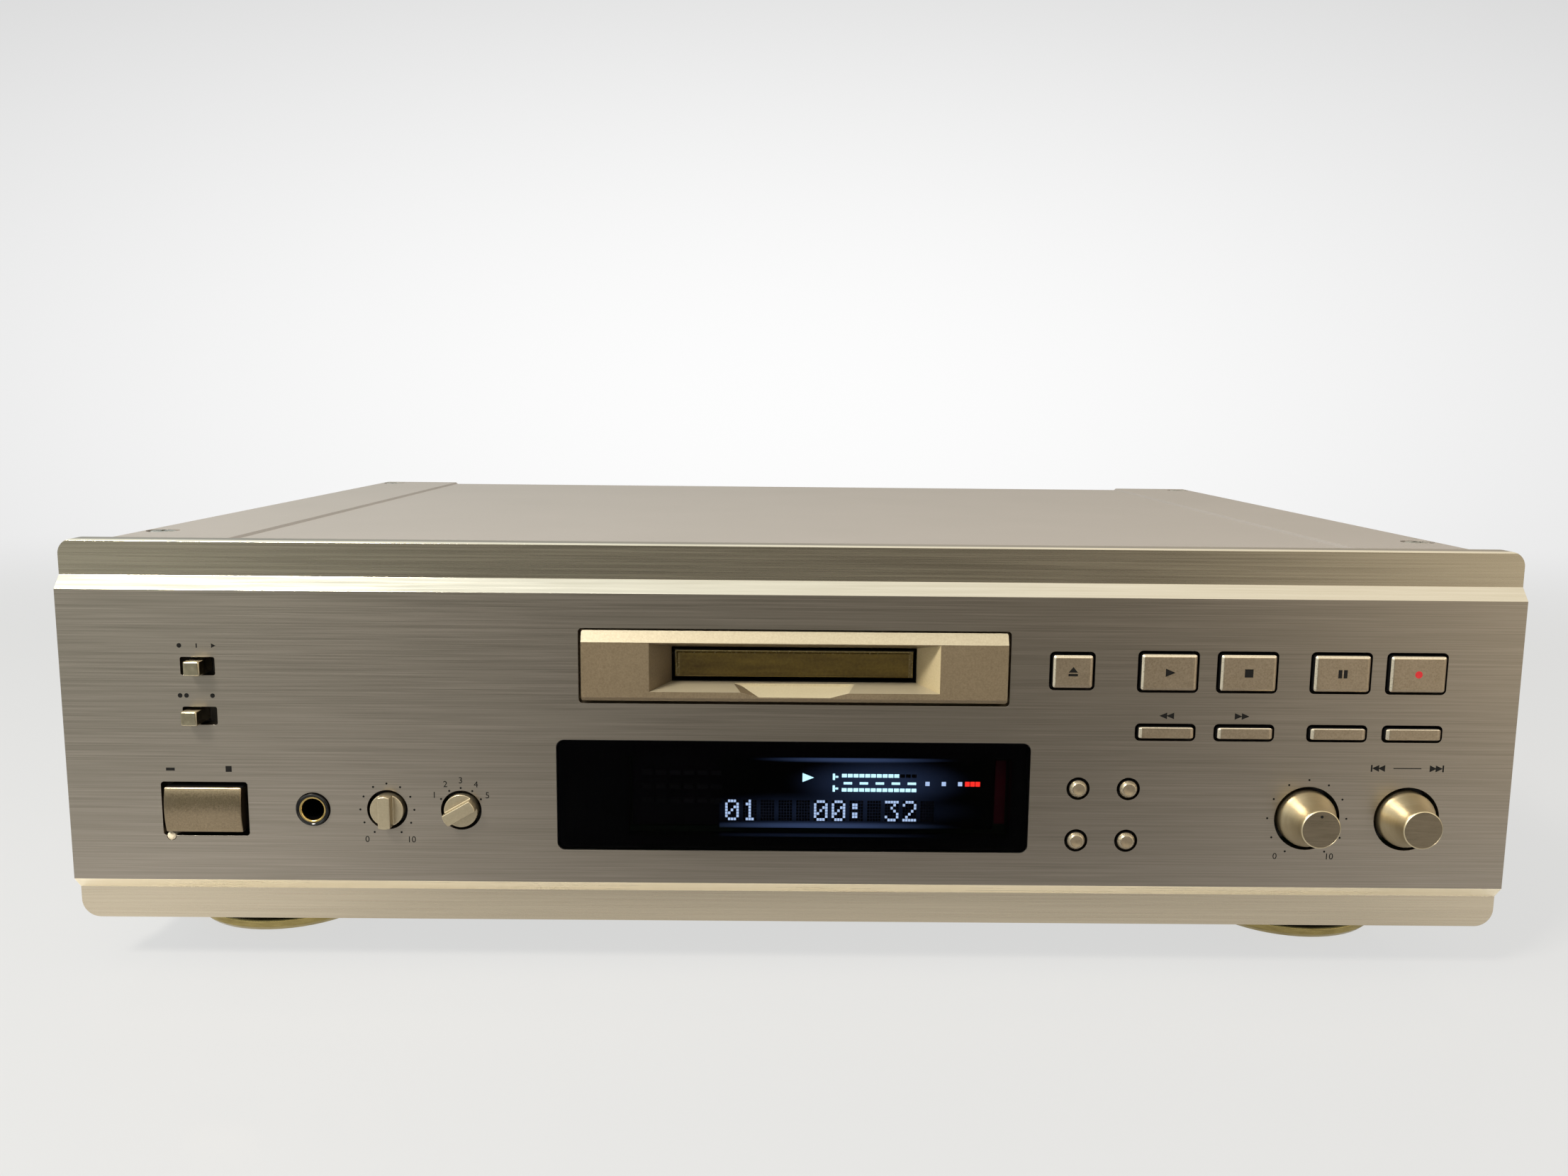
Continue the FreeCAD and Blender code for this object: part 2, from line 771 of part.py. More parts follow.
def level_knob(x):
    """A turned knob: straight skirt, hollow flare and a flat face with a bright edge."""
    base, tip = level_base_radius, level_tip_radius
    tip_y = -level_proud
    length = level_proud - level_edge - level_skirt
    flare = [(base - (base - tip) * math.sin(math.pi / 2 * part), -level_skirt - length * part)
             for part in [step / flare_steps for step in range(flare_steps + 1)]]
    outline = [(0, knob_seat), (base, knob_seat)] + flare + [(tip - level_edge, tip_y), (0, tip_y)]
    shaft = rod_y(level_shaft_radius, x, below(level_drop), knob_seat, board_front - shaft_end_gap)
    return join([turned_y(outline, x, below(level_drop)), shaft])


def dial(x, angle):
    """A small flat knob with a raised bar across it, turned clockwise by angle."""
    z = below(dial_drop)
    disc = rod_y(dial_radius, x, z, -dial_proud, knob_seat)
    bar = block(span(x, grip_width), (-grip_proud, -dial_proud), span(z, 2 * dial_radius))
    bar = bar.common(rod_y(dial_radius, x, z, -grip_proud, -dial_proud))
    shaft = rod_y(dial_shaft_radius, x, z, knob_seat, board_front - shaft_end_gap)
    knob = join([disc, bar, shaft])
    knob.rotate(Vector(x, 0, z), Vector(0, 1, 0), angle)
    return knob


def power_button():
    edge_y = -power_edge_proud
    crown = Vector(power_x[0], edge_y - power_crown, below(power_drop))
    low, high = [Vector(power_x[0], edge_y, z) for z in power_z]
    back_high, back_low = [Vector(power_x[0], web_thickness, z) for z in power_z[::-1]]
    outline = Part.Wire([Part.Arc(low, crown, high).toShape(), Part.makeLine(high, back_high),
                         Part.makeLine(back_high, back_low), Part.makeLine(back_low, low)])
    cap = Part.Face(outline).extrude(Vector(power_width, 0, 0))
    stop = power_gap + key_flange
    flange = block(grown(power_x, stop), (web_thickness, key_back), (power_z[0], power_z[1] + stop))
    return join([cap, flange])


def lever(drop, rest, leftwards, rightwards):
    """A square finger piece on a shutter plate that keeps the slot closed."""
    x, z = left_x + rest, below(drop)
    finger = block(span(x, lever_width), (-lever_proud, web_thickness), span(z, lever_height))
    tip = [edge for edge in finger.Edges if edge.BoundBox.YMax < -lever_proud + 0.01]
    finger = finger.makeFillet(lever_edge, tip)
    reach = slot_width / 2 + max(abs(rest - leftwards), abs(rest + rightwards)) + shutter_overlap
    shutter = block(span(x, 2 * reach), (web_thickness, web_thickness + shutter_thickness),
                    span(z, shutter_height))
    stem = block(span(x, lever_stem_width), (web_thickness + shutter_thickness, board_front - lever_stem_gap),
                 span(z, lever_stem_width))
    return join([finger, shutter, stem])


def phones_jack():
    x, z = jack_x, below(jack_drop)
    end = jack_bore_depth - jack_ring_proud + jack_wall
    ring = rod_y(jack_ring_radius, x, z, -jack_ring_proud, web_thickness)
    body = block(span(x, jack_body), (web_thickness, end), span(z, jack_body))
    bore = rod_y(jack_bore_radius, x, z, -jack_ring_proud - 1, jack_bore_depth - jack_ring_proud)
    return join([ring, body]).cut(bore)


def power_lamp():
    x, z = lamp_x, below(lamp_drop)
    outline = [(0, -lamp_dome), (lamp_radius * 0.6, -lamp_dome * 0.75), (lamp_radius, 0),
               (lamp_radius, board_front), (0, board_front)]
    return turned_y(outline, x, z)


def display_window():
    pane = rounded_block_y(display_x, display_z, (0, web_thickness), display_corner)
    back = (web_thickness, web_thickness + display_flange_thickness)
    flange = block(grown(display_x, display_flange), back, grown(display_z, display_flange))
    return join([pane, flange])


def display_tube():
    x = (middle_x - tube_left, middle_x + tube_right)
    z = span(below(tube_drop), tube_height)
    back = block(x, (board_front - tube_depth / 2, board_front), z)
    glass = block(grown(x, -tube_rim), (board_front - tube_depth, board_front - tube_depth / 2),
                  grown(z, -tube_rim))
    return join([back, glass])


def remote_sensor():
    """The receiver behind the window's left end: a moulded block with a domed lens."""
    x, z = display_x[0] + sensor_inset, below(display_drop)
    front = board_front - sensor_depth
    body = block(span(x, sensor_width), (front, board_front), span(z, sensor_height))
    dome = [(0, front - sensor_lens_dome), (0.6 * sensor_lens_radius, front - 0.75 * sensor_lens_dome),
            (sensor_lens_radius, front), (0, front)]
    return join([body, turned_y(dome, x, z)])


def disc_bezel():
    low, high = bezel_z
    outline = [(web_thickness, low), (web_thickness, high), (0.4, high), (-bezel_proud, high - bezel_slope),
               (-bezel_proud, low + bezel_chamfer), (-bezel_proud + bezel_chamfer, low)]
    face = prism_x(outline, *bezel_x)
    face = face.makeFillet(bezel_corner - bezel_gap,
                           parallel_edges(face, (0, 1, 0), corners(bezel_x, bezel_z)))
    flange = block(grown(bezel_x, bezel_flange), (web_thickness, web_thickness + bezel_flange_thickness),
                   grown(bezel_z, bezel_flange))
    tunnel = block(grown(throat_x, tunnel_wall), (web_thickness, tunnel_length), grown(throat_z, tunnel_wall))
    body = join([face, flange, tunnel])
    mouth = mouth_splay()
    bore = block(throat_x, (throat_depth, tunnel_length + 1), throat_z)
    pivots = rod_x(flap_pin + flap_pin_clearance, flap_axis_y, flap_axis_z,
                   *grown(throat_x, flap_pin_length + 0.1))
    return cut(body, [mouth, bore, pivots, finger_scoop()])


def mouth_splay():
    """The mouth narrows from the bezel's face to the throat where the flap hangs."""
    wires = []
    for width, height, drop, y in ((mouth_width, mouth_height, mouth_drop, -bezel_proud),
                                   (throat_width, throat_height, throat_drop, throat_depth)):
        (x0, x1), (z0, z1) = span(middle_x, width), span(below(drop), height)
        wires.append(Part.makePolygon([Vector(x0, y, z0), Vector(x1, y, z0), Vector(x1, y, z1),
                                       Vector(x0, y, z1), Vector(x0, y, z0)]))
    lip = block(span(middle_x, mouth_width), (-bezel_proud - 1, -bezel_proud),
                span(below(mouth_drop), mouth_height))
    return join([Part.makeLoft(wires, True, True), lip])


def finger_scoop():
    """A dip in the lower lip that runs out towards the flap."""
    top = below(mouth_drop) - mouth_height / 2
    bottom = top - scoop_depth
    spread = (scoop_top - scoop_bottom) / 2 / scoop_depth
    front = -bezel_proud - 1
    rise = 1.0
    trough = prism_y([(middle_x - scoop_bottom / 2, bottom), (middle_x + scoop_bottom / 2, bottom),
                      (middle_x + scoop_top / 2 + spread * rise, top + rise),
                      (middle_x - scoop_top / 2 - spread * rise, top + rise)], front, scoop_reach)
    ramp = prism_x([(front, bottom), (scoop_reach, top), (scoop_reach, top + rise), (front, top + rise)],
                   middle_x - bezel_width / 2, middle_x + bezel_width / 2)
    return trough.common(ramp)


def disc_flap():
    x = grown(throat_x, -flap_side_gap)
    low = throat_z[0] + flap_bottom_gap
    leaf = block(x, (throat_depth, throat_depth + flap_thickness), (low, flap_axis_z))
    barrel = rod_x(flap_barrel, flap_axis_y, flap_axis_z, *x)
    pins = rod_x(flap_pin, flap_axis_y, flap_axis_z, x[0] - flap_pin_length, x[1] + flap_pin_length)
    outer = grown(x, -flap_border), grown((low, flap_axis_z + flap_barrel), -flap_border)
    inner = grown(outer[0], -flap_groove), grown(outer[1], -flap_groove)
    sink = (throat_depth - 1, throat_depth + flap_groove_depth)
    groove = block(outer[0], sink, outer[1]).cut(block(inner[0], sink, inner[1]))
    return join([leaf, barrel, pins]).cut(groove)


def panel_switches():
    """Push switches behind the keys, slide switches behind the levers and the power switch."""
    seats = [(x, z) for _, x, z, _, _, _ in square_keys] + [(x, z) for _, x, z in round_keys]
    pieces = []
    for x, z in seats:
        top = board_front - switch_height
        body = block(span(x, switch_size), (top, board_front), span(z, switch_size))
        pieces.append(join([body, rod_y(plunger_radius, x, z, plunger_front, top)]))
    for _, drop, rest, leftwards, rightwards in levers:
        x, z = left_x, below(drop)
        front = board_front - slide_switch_depth
        body = block(span(x, slide_switch_width), (front, board_front), span(z, slide_switch_height))
        half = lever_stem_width / 2 + stem_clearance
        slot = block((x + rest - leftwards - half, x + rest + rightwards + half),
                     (front - 1, board_front - lever_stem_gap + stem_clearance), span(z, 2 * half))
        pieces.append(body.cut(slot))
    x, z = left_x, below(power_drop)
    front = key_back + power_travel + power_switch_gap
    height = span(z, power_switch_height)
    body = block(span(x, power_switch_width), (front, front + power_switch_depth), height)
    tabs = block(span(x, power_tab_width), (board_back, board_back + power_tab_thickness), height)
    pieces.append(join([body, tabs]))
    return group(pieces)


def rotary_controls():
    """The four controls behind the knobs, each bored for its shaft."""
    places = [(x, below(level_drop), level_control, level_shaft_radius) for _, x in level_knobs]
    places += [(x, below(dial_drop), dial_control, dial_shaft_radius) for _, x, _ in dials]
    pieces = []
    for x, z, size, shaft in places:
        body = block(span(x, size), (knob_seat + control_gap, board_front), span(z, size))
        pieces.append(body.cut(rod_y(shaft + shaft_clearance, x, z, 0, board_front - control_floor)))
    return group(pieces)


def front_board():
    """The board behind the panel, notched for the disc slot and the headphone jack."""
    board = block(grown((-half_width, half_width), -board_margin), (board_front, board_back),
                  (plate_bottom + board_bottom_gap, below(board_top_gap)))
    through = (board_front - 1, board_back + 1)
    notch = block(grown(bezel_x, bezel_flange), through,
                  (throat_z[0] - tunnel_wall - board_notch_gap, plate_top))
    jack = block(grown(span(jack_x, jack_body), board_notch_gap), through,
                 grown(span(below(jack_drop), jack_body), board_notch_gap))
    power = block(grown(span(left_x, power_switch_width), power_notch_gap), through,
                  grown(span(below(power_drop), power_switch_height), power_notch_gap))
    return cut(board, [notch, jack, power])


def front_bracket():
    """The steel frame behind the panel, with windows for the controls, bosses for the
    front board and flanges on the chassis floor and under the cover."""
    x = (-chassis_half + chassis_thickness, chassis_half - chassis_thickness)
    top = cover_top - strip_step - cover_thickness
    sheet = (rail_back, bracket_back)
    frame = block(x, sheet, (floor_top, top))
    frame = cut(frame, [block(sorted((side * x[1], side * (x[1] - chassis_flange))), sheet,
                              (chassis_top - chassis_thickness, top)) for side in (-1, 1)])
    folded = (bracket_back, bracket_back + bracket_flange)
    foot = block(x, folded, (floor_top, floor_top + bracket_thickness))
    head_x = grown(x, -chassis_flange)
    head = block(head_x, folded, (top - bracket_thickness, top))
    window_z = (plate_bottom + bracket_window_bottom, below(bracket_window_top))
    ends = grown(x, -bracket_end_inset)
    splits = [ends[0], *grown(display_x, display_flange), ends[1]]
    windows = [block((a + bracket_rib / 2, b - bracket_rib / 2), (rail_back - 1, bracket_back + 1), window_z)
               for a, b in zip(splits, splits[1:])]
    low, high = grown(window_z, -bracket_boss_inset)
    bosses = [rod_y(bracket_rib / 2, a, z, bracket_back, board_front)
              for a, z in [(a, low) for a in splits] + [(a, high) for a in ends]]
    return join([cut(frame, windows), foot, head] + bosses)


def top_cover():
    """A folded cover with a raised strip along each side and countersunk screw pockets."""
    low = cover_bottom
    t = cover_thickness
    outer = [(cover_half, low), (cover_half, cover_top), (cover_half - strip_width, cover_top),
             (cover_half - strip_width - strip_step, cover_top - strip_step)]
    inner = [(cover_half - strip_width - strip_step, cover_top - strip_step - t),
             (cover_half - strip_width, cover_top - t), (cover_half - t, cover_top - t),
             (cover_half - t, low)]
    half = outer + [(0, cover_top - strip_step), (0, cover_top - strip_step - t)] + inner
    right_half = prism_y(half, rail_back, cover_rear)
    right_half = right_half.makeFillet(cover_radius, parallel_edges(right_half, (0, 1, 0),
                                                                    [(cover_half, cover_top)]))
    left_half = right_half.mirror(Vector(0, 0, 0), Vector(1, 0, 0))
    cover = join([right_half, left_half])
    holes = []
    for x, y in front_screws + rear_screws:
        holes.append(rod_z(screw_pocket, x, y, cover_top - screw_head_height, cover_top + 1))
        holes.append(rod_z(screw_shank_radius + screw_clearance, x, y, cover_top - 2 * t, cover_top))
    for side, y in side_screws:
        face = side * cover_half
        holes.append(rod_x(screw_shank_radius + screw_clearance, y, side_screw_z,
                           *sorted((face - side * 2 * t, face + side))))
    return cut(cover, holes)


def case_screws():
    """Pan-head screws in the cover, its sides and the rear panel."""
    pieces = []
    head, shank = screw_head_radius, screw_shank_radius
    outline = [(0, 0), (head, 0), (head, screw_head_height * 0.5),
               (head - screw_head_edge, screw_head_height), (0, screw_head_height)]
    for x, y in front_screws + rear_screws:
        base = Vector(x, y, cover_top - screw_head_height)
        pieces.append(join([turned(outline, base, Vector(0, 0, 1)),
                            rod_z(shank, x, y, base.z - screw_length, base.z)]))
    for side, y in side_screws:
        base = Vector(side * cover_half, y, side_screw_z)
        body = rod_x(shank, y, side_screw_z, *sorted((base.x, base.x - side * screw_length)))
        pieces.append(join([turned(outline, base, Vector(side, 0, 0)), body]))
    for x, z in rear_panel_screws:
        base = Vector(x, rear_face, z)
        pieces.append(join([turned(outline, base, Vector(0, 1, 0)),
                            rod_y(shank, x, z, rear_face - rear_thickness, rear_face)]))
    return group(pieces)


def bottom_chassis():
    """A folded steel tray: floor with cooling slots, full-height sides and inward top flanges."""
    t = chassis_thickness
    a, top = chassis_half, chassis_top
    outline = [(-a, panel_bottom), (a, panel_bottom), (a, top), (a - chassis_flange, top),
               (a - chassis_flange, top - t), (a - t, top - t), (a - t, floor_top), (-a + t, floor_top),
               (-a + t, top - t), (-a + chassis_flange, top - t), (-a + chassis_flange, top), (-a, top)]
    tray = prism_y(outline, rail_back, rear_inner)
    slots = []
    for centre_x, centre_y in vent_groups:
        for step in range(vents_per_group):
            x = centre_x + (step - (vents_per_group - 1) / 2) * vent_pitch
            slots.append(block(span(x, vent_width), span(centre_y, vent_length),
                               (panel_bottom - 1, floor_top + 1)))
    for x, y in front_screws + rear_screws:
        slots.append(rod_z(screw_shank_radius + screw_clearance, x, y, top - 2 * t, top + 1))
    for side, y in side_screws:
        slots.append(rod_x(screw_shank_radius + screw_clearance, y, side_screw_z,
                           *sorted((side * (a - 2 * t), side * (a + 1)))))
    return cut(tray, slots)


def rear_panel():
    x = (-chassis_half, chassis_half)
    plate = block(x, (rear_inner, rear_face), (panel_bottom, cover_top - strip_step - cover_thickness))
    through = (rear_inner - 1, rear_face + 1)
    holes = [rod_y(sleeve_radius + sleeve_clearance, a, z, *through) for a, z in analog_places + coax_places]
    holes += [block(grown(span(a, optical_width), socket_gap), through,
                    grown(span(z, optical_height), socket_gap)) for a, z in optical_places]
    holes.append(block(grown(span(inlet_x, inlet_width), socket_gap), through,
                       grown(span(floor_top + inlet_height, inlet_body_height), socket_gap)))
    holes += [rod_y(screw_shank_radius, a, z, *through) for a, z in rear_panel_screws]
    return cut(plate, holes)


def phono_sleeves(places):
    """The sleeves of phono sockets, and the bores for their centre pins."""
    end = rear_face + sleeve_length
    sleeves = [rod_y(sleeve_radius, x, z, rear_inner, end) for x, z in places]
    bores = [rod_y(sleeve_bore, x, z, rear_face - sleeve_bore_depth, end + 1) for x, z in places]
    return sleeves, bores


def analog_jacks():
    body = block(span(analog_x, 2 * sleeve_pitch_x), (rear_inner - socket_board_gap, rear_inner),
                 span(socket_z, 2 * sleeve_pitch_z))
    sleeves, bores = phono_sleeves(analog_places)
    return cut(join([body] + sleeves), bores)


def digital_jacks():
    """Two coaxial sleeves and two square optical sockets on one moulding."""
    body = block((optical_x - sleeve_pitch_x / 2 - socket_end_margin, coax_x + sleeve_pitch_x / 2),
                 (rear_inner - socket_board_gap, rear_inner), span(socket_z, 2 * sleeve_pitch_z))
    sleeves, cuts = phono_sleeves(coax_places)
    for x, z in optical_places:
        sleeves.append(block(span(x, optical_width), (rear_inner, rear_face + optical_proud),
                             span(z, optical_height)))
        cuts.append(block(span(x, optical_mouth), (rear_face - optical_depth, rear_face + 1),
                          span(z, optical_mouth)))
    return cut(join([body] + sleeves), cuts)


def ac_inlet():
    """A two-pole mains inlet with a figure-of-eight mouth."""
    x, z = inlet_x, floor_top + inlet_height
    outer = rear_face + inlet_flange_thickness
    flange = rounded_block_y(span(x, inlet_flange_width), span(z, inlet_flange_height), (rear_face, outer),
                             inlet_flange_corner)
    mouth_floor = outer - inlet_mouth_depth
    body = block(span(x, inlet_width), (mouth_floor - inlet_floor, rear_face), span(z, inlet_body_height))
    sides = span(x, inlet_mouth_spacing)
    waist = block(sides, (mouth_floor, outer + 1), span(z, inlet_waist))
    mouth = join([waist] + [rod_y(inlet_mouth_radius, side, z, mouth_floor, outer + 1) for side in sides])
    pins = [rod_y(inlet_pin_radius, side, z, mouth_floor, mouth_floor + inlet_pin_length) for side in sides]
    return join([join([flange, body]).cut(mouth)] + pins)


def foot_rings():
    """Metal rings that flare around the lower edge of each foot."""
    low, high = foot_pad_height, foot_pad_height + foot_ring_height
    outline = [(foot_radius - foot_ring_lip, low), (foot_radius - foot_ring_slope, low),
               (foot_radius, low + foot_ring_slope), (foot_radius, high - foot_ring_edge),
               (foot_radius - foot_ring_edge, high), (foot_radius - foot_ring_lip, high)]
    return group([turned_z(outline, x, y) for x, y in feet])


def foot_bodies():
    core = foot_radius - foot_ring_lip
    ring_top = foot_pad_height + foot_ring_height
    neck = core - foot_neck_step
    outline = [(0, foot_pad_height), (core, foot_pad_height), (core, ring_top),
               (neck, ring_top + foot_neck_step / 2), (neck, foot_height), (0, foot_height)]
    return group([turned_z(outline, x, y) for x, y in feet])


def foot_pads():
    return group([rod_z(foot_pad_radius, x, y, 0, foot_pad_height) for x, y in feet])


def toothed_wheel(teeth, module, x, y, low, high, phase):
    """A spur wheel with straight-flanked teeth, thinned for running clearance."""
    pitch = teeth * module / 2
    root, tip = pitch - 1.25 * module, pitch + 0.9 * module
    step = 2 * math.pi / teeth
    outline = []
    for tooth in range(teeth):
        middle = phase + tooth * step
        for radius, part in ((root, -0.30), (tip, -0.11), (tip, 0.11), (root, 0.30)):
            angle = middle + part * step
            outline.append((x + radius * math.cos(angle), y + radius * math.sin(angle)))
    return prism_z(outline, low, high)


def rack(front, rear, x, low, high):
    """Straight teeth along the slider that point outwards, one of them centred on the gear."""
    pitch = math.pi * rack_module
    first = math.ceil((front - gear_y) / pitch)
    last = math.floor((rear - gear_y) / pitch)
    tip, root = x + 0.9 * rack_module, x - 1.25 * rack_module
    outline = [(root, front)]
    for index in range(first, last + 1):
        y = gear_y + index * pitch
        outline += [(root, y - 0.36 * pitch), (tip, y - 0.13 * pitch), (tip, y + 0.13 * pitch),
                    (root, y + 0.36 * pitch)]
    outline += [(root, rear), (root - 0.5, rear), (root - 0.5, front)]
    return prism_z(outline, low, high)


def load_slider():
    """Two cam plates joined by a rear strip, with a rack on the right one. The ramps carry
    the holder's pins from the slot's level down to the playing level."""
    z_low, z_high = slider_bottom, holder_top
    pieces = []
    for side in (-1, 1):
        x = sorted((middle_x + side * slider_half, middle_x + side * slider_outer))
        low_rear = gear_y - pitch_radius - cam_end_gap
        plate = join([block(x, (slider_front, low_rear), (z_low, z_high)),
                      block(x, (low_rear, slider_rear), (z_low, z_low + strip_height))])
        ramps = [ramp_slot(x, y) for y in pin_rows]
        pieces.append(cut(plate, ramps))
    strip_y = slider_rear - rear_strip_inset
    strip = block((middle_x - slider_half, middle_x + slider_half), (strip_y, strip_y + slider_thickness),
                  (z_low, z_low + strip_height))
    teeth = rack(gear_y - rack_lead, slider_rear, middle_x + rack_line, z_low, z_low + strip_height)
    return join(pieces + [strip, teeth])


def ramp_slot(x, y):
    """A slot along the pin's path, level at neither end, as wide as the pin with its clearance."""
    radius = pin_radius + pin_clearance
    start, end = Vector(0, y, pin_z), Vector(0, y + slide_travel, pin_z - holder_drop)
    along = (end - start).normalize()
    across = Vector(0, -along.z, along.y) * radius
    corner = [start + across, end + across, end - across, start - across]
    middle = prism_x([(point.y, point.z) for point in corner], x[0] - 1, x[1] + 1)
    ends = [rod_x(radius, point.y, point.z, x[0] - 1, x[1] + 1) for point in (start, end)]
    return join([middle] + ends)


def disc_holder():
    """The sheet tray: a top with a window for the head, folded sides, lips under the
    cartridge, stops at the rear and a guide pin at each corner."""
    a, t = holder_half, holder_thickness
    b = holder_inner_half
    lip = b - holder_lip
    outline = [(-a, holder_floor), (-lip, holder_floor), (-lip, holder_floor + t), (-b, holder_floor + t),
               (-b, holder_top - t), (b, holder_top - t), (b, holder_floor + t), (lip, holder_floor + t),
               (lip, holder_floor), (a, holder_floor), (a, holder_top), (-a, holder_top)]
    tray = prism_y([(middle_x + x, z) for x, z in outline], holder_front, holder_rear)
    window = block((middle_x + head_window[0], middle_x + head_window[1]),
                   (spindle_y - head_window_front, spindle_y + head_window_rear),
                   (holder_top - 2 * t, holder_top + 1))
    stops = [block(span(middle_x + side * (b - stop_inset), stop_width), (holder_rear - t, holder_rear),
                   (holder_floor + t, holder_top - t)) for side in (-1, 1)]
    pins = []
    for side in (-1, 1):
        for y in pin_rows:
            x = sorted((middle_x + side * a, middle_x + side * (wall_outer + pin_reach)))
            pins.append(rod_x(pin_radius, y, pin_z, *x))
    return join([tray.cut(window)] + stops + pins)


def mech_base():
    """The mechanism's base plate: guide walls for the holder's pins, a window for the lens,
    lugs for the guide shafts and the lead screw, a gear post and legs on the dampers."""
    plate = block(span(middle_x, 2 * base_half), (base_front, base_rear), (base_bottom, base_top))
    through = (base_bottom - 1, base_top + 1)
    lens_window = grown((middle_x + track_inner, middle_x + track_inner + sled_travel), lens_window_gap)
    holes = [rod_z(turntable_radius + turntable_gap, middle_x, spindle_y, *through),
             block(lens_window, span(spindle_y, lens_window_length), through),
             rod_z(pinion_hole_radius, pinion_x, pinion_y, *through)]
    pieces = [cut(plate, holes)]
    wall_top = base_top + base_wall_height
    half = pin_radius + pin_clearance
    for side in (-1, 1):
        wall_x = sorted((middle_x + side * wall_inner, middle_x + side * wall_outer))
        wall = block(wall_x, (slider_front, pin_rows[1] + base_wall_rear), (base_top, wall_top))
        slots = [block(grown(wall_x, 1), span(y, 2 * half), (pin_z - holder_drop - half, wall_top + 1))
                 for y in pin_rows]
        pieces.append(cut(wall, slots))
    lug_z = (axis_z - lug_drop, base_bottom)
    for y in guide_rows + [lead_screw_y]:
        for end in (guide_left, guide_right):
            pieces.append(block((middle_x + end, middle_x + end + lug), span(y, lug_width), lug_z))
    post_top = gear_low + small_gear_height + gear_height + gear_post_rise
    pieces.append(rod_z(gear_post_radius, gear_x, gear_y, base_top, post_top))
    pieces += [rod_z(leg_radius, middle_x + a, y, table_top + damper_height, base_bottom) for a, y in legs]
    reach = (middle_x + guide_left - 1, middle_x + guide_right + lug + 1)
    bores = [rod_x(guide_radius, y, axis_z, *reach) for y in guide_rows]
    bores.append(rod_x(screw_radius + shaft_clearance, lead_screw_y, axis_z, *reach))
    return cut(join(pieces), bores)


def guide_shafts():
    return group([rod_x(guide_radius, y, axis_z, middle_x + guide_left, middle_x + guide_right + lug)
                  for y in guide_rows])


def lead_screw():
    end = middle_x + guide_right + lug + motor_shaft_depth
    return rod_x(screw_radius, lead_screw_y, axis_z, middle_x + guide_left, end)


def sled_motor():
    start = middle_x + guide_right + lug
    can = rod_x(can_radius, lead_screw_y, axis_z, start, start + can_length)
    end = start + motor_shaft_depth + shaft_bottom_gap
    return can.cut(rod_x(screw_radius + shaft_clearance, lead_screw_y, axis_z, start - 1, end))


def spindle_motor():
    stator = rod_z(motor_radius, middle_x, spindle_y, base_bottom - motor_height, base_bottom)
    return stator.cut(rod_z(spindle_radius + shaft_clearance, middle_x, spindle_y,
                            base_bottom - motor_height + motor_floor, base_bottom + 1))


def turntable():
    """The spindle, its platter and the centring chuck, turned as one piece."""
    low = base_bottom - motor_height + motor_floor + shaft_bottom_gap
    platter = base_bottom + platter_gap
    top = platter + platter_height
    chuck = holder_floor - holder_drop + holder_thickness + chuck_rise
    outline = [(0, low), (spindle_radius, low), (spindle_radius, platter), (turntable_radius, platter),
               (turntable_radius, top), (chuck_radius, top), (chuck_radius, chuck - 1.0),
               (chuck_radius - chuck_point, chuck), (0, chuck)]
    return turned_z(outline, middle_x, spindle_y)


def pickup_sled():
    """The optical pickup's carriage on its two guide shafts, with the lens, the arm that
    follows the lead screw and the bracket that carries the recording head's arm."""
    lens_x = middle_x + track_inner
    x = (middle_x + sled_left, middle_x + sled_left + sled_width)
    body_z = span(axis_z, 2 * sled_half_height)
    body = block(x, grown(guide_rows, sled_overhang), body_z)
    body = body.cut(rod_z(motor_radius + turntable_gap, middle_x, spindle_y, *grown(body_z, 1)))
    turret_top = base_top + turret_rise
    turret = block((lens_x - turret_inner, lens_x + turret_outer), span(spindle_y, turret_length),
                   (body_z[1], turret_top))
    lens = rod_z(lens_radius, lens_x, spindle_y, turret_top, turret_top + lens_rise)
    follower_y = (lead_screw_y - follower_reach, guide_rows[0] - sled_overhang)
    follower = block(span(lens_x, follower_width), follower_y, span(axis_z, 2 * follower_half_height))
    post_y = span(arm_pivot_y, 2 * arm_post_half_depth)
    post_x = span(lens_x, arm_post_width)
    tail = block(post_x, (guide_rows[1], post_y[1]), (body_z[0] - arm_post_foot, body_z[0]))
    riser = block(post_x, post_y, (body_z[0], arm_z + arm_post_rise))
    bores = [rod_x(guide_radius + shaft_clearance, y, axis_z, *grown(x, 1)) for y in guide_rows]
    bores.append(rod_x(screw_radius + shaft_clearance, lead_screw_y, axis_z, *grown(x, 1)))
    bores.append(rod_x(spindle_radius + shaft_clearance, arm_pivot_y, arm_z, *grown(post_x, 1)))
    return cut(join([body, turret, lens, follower, tail, riser]), bores)


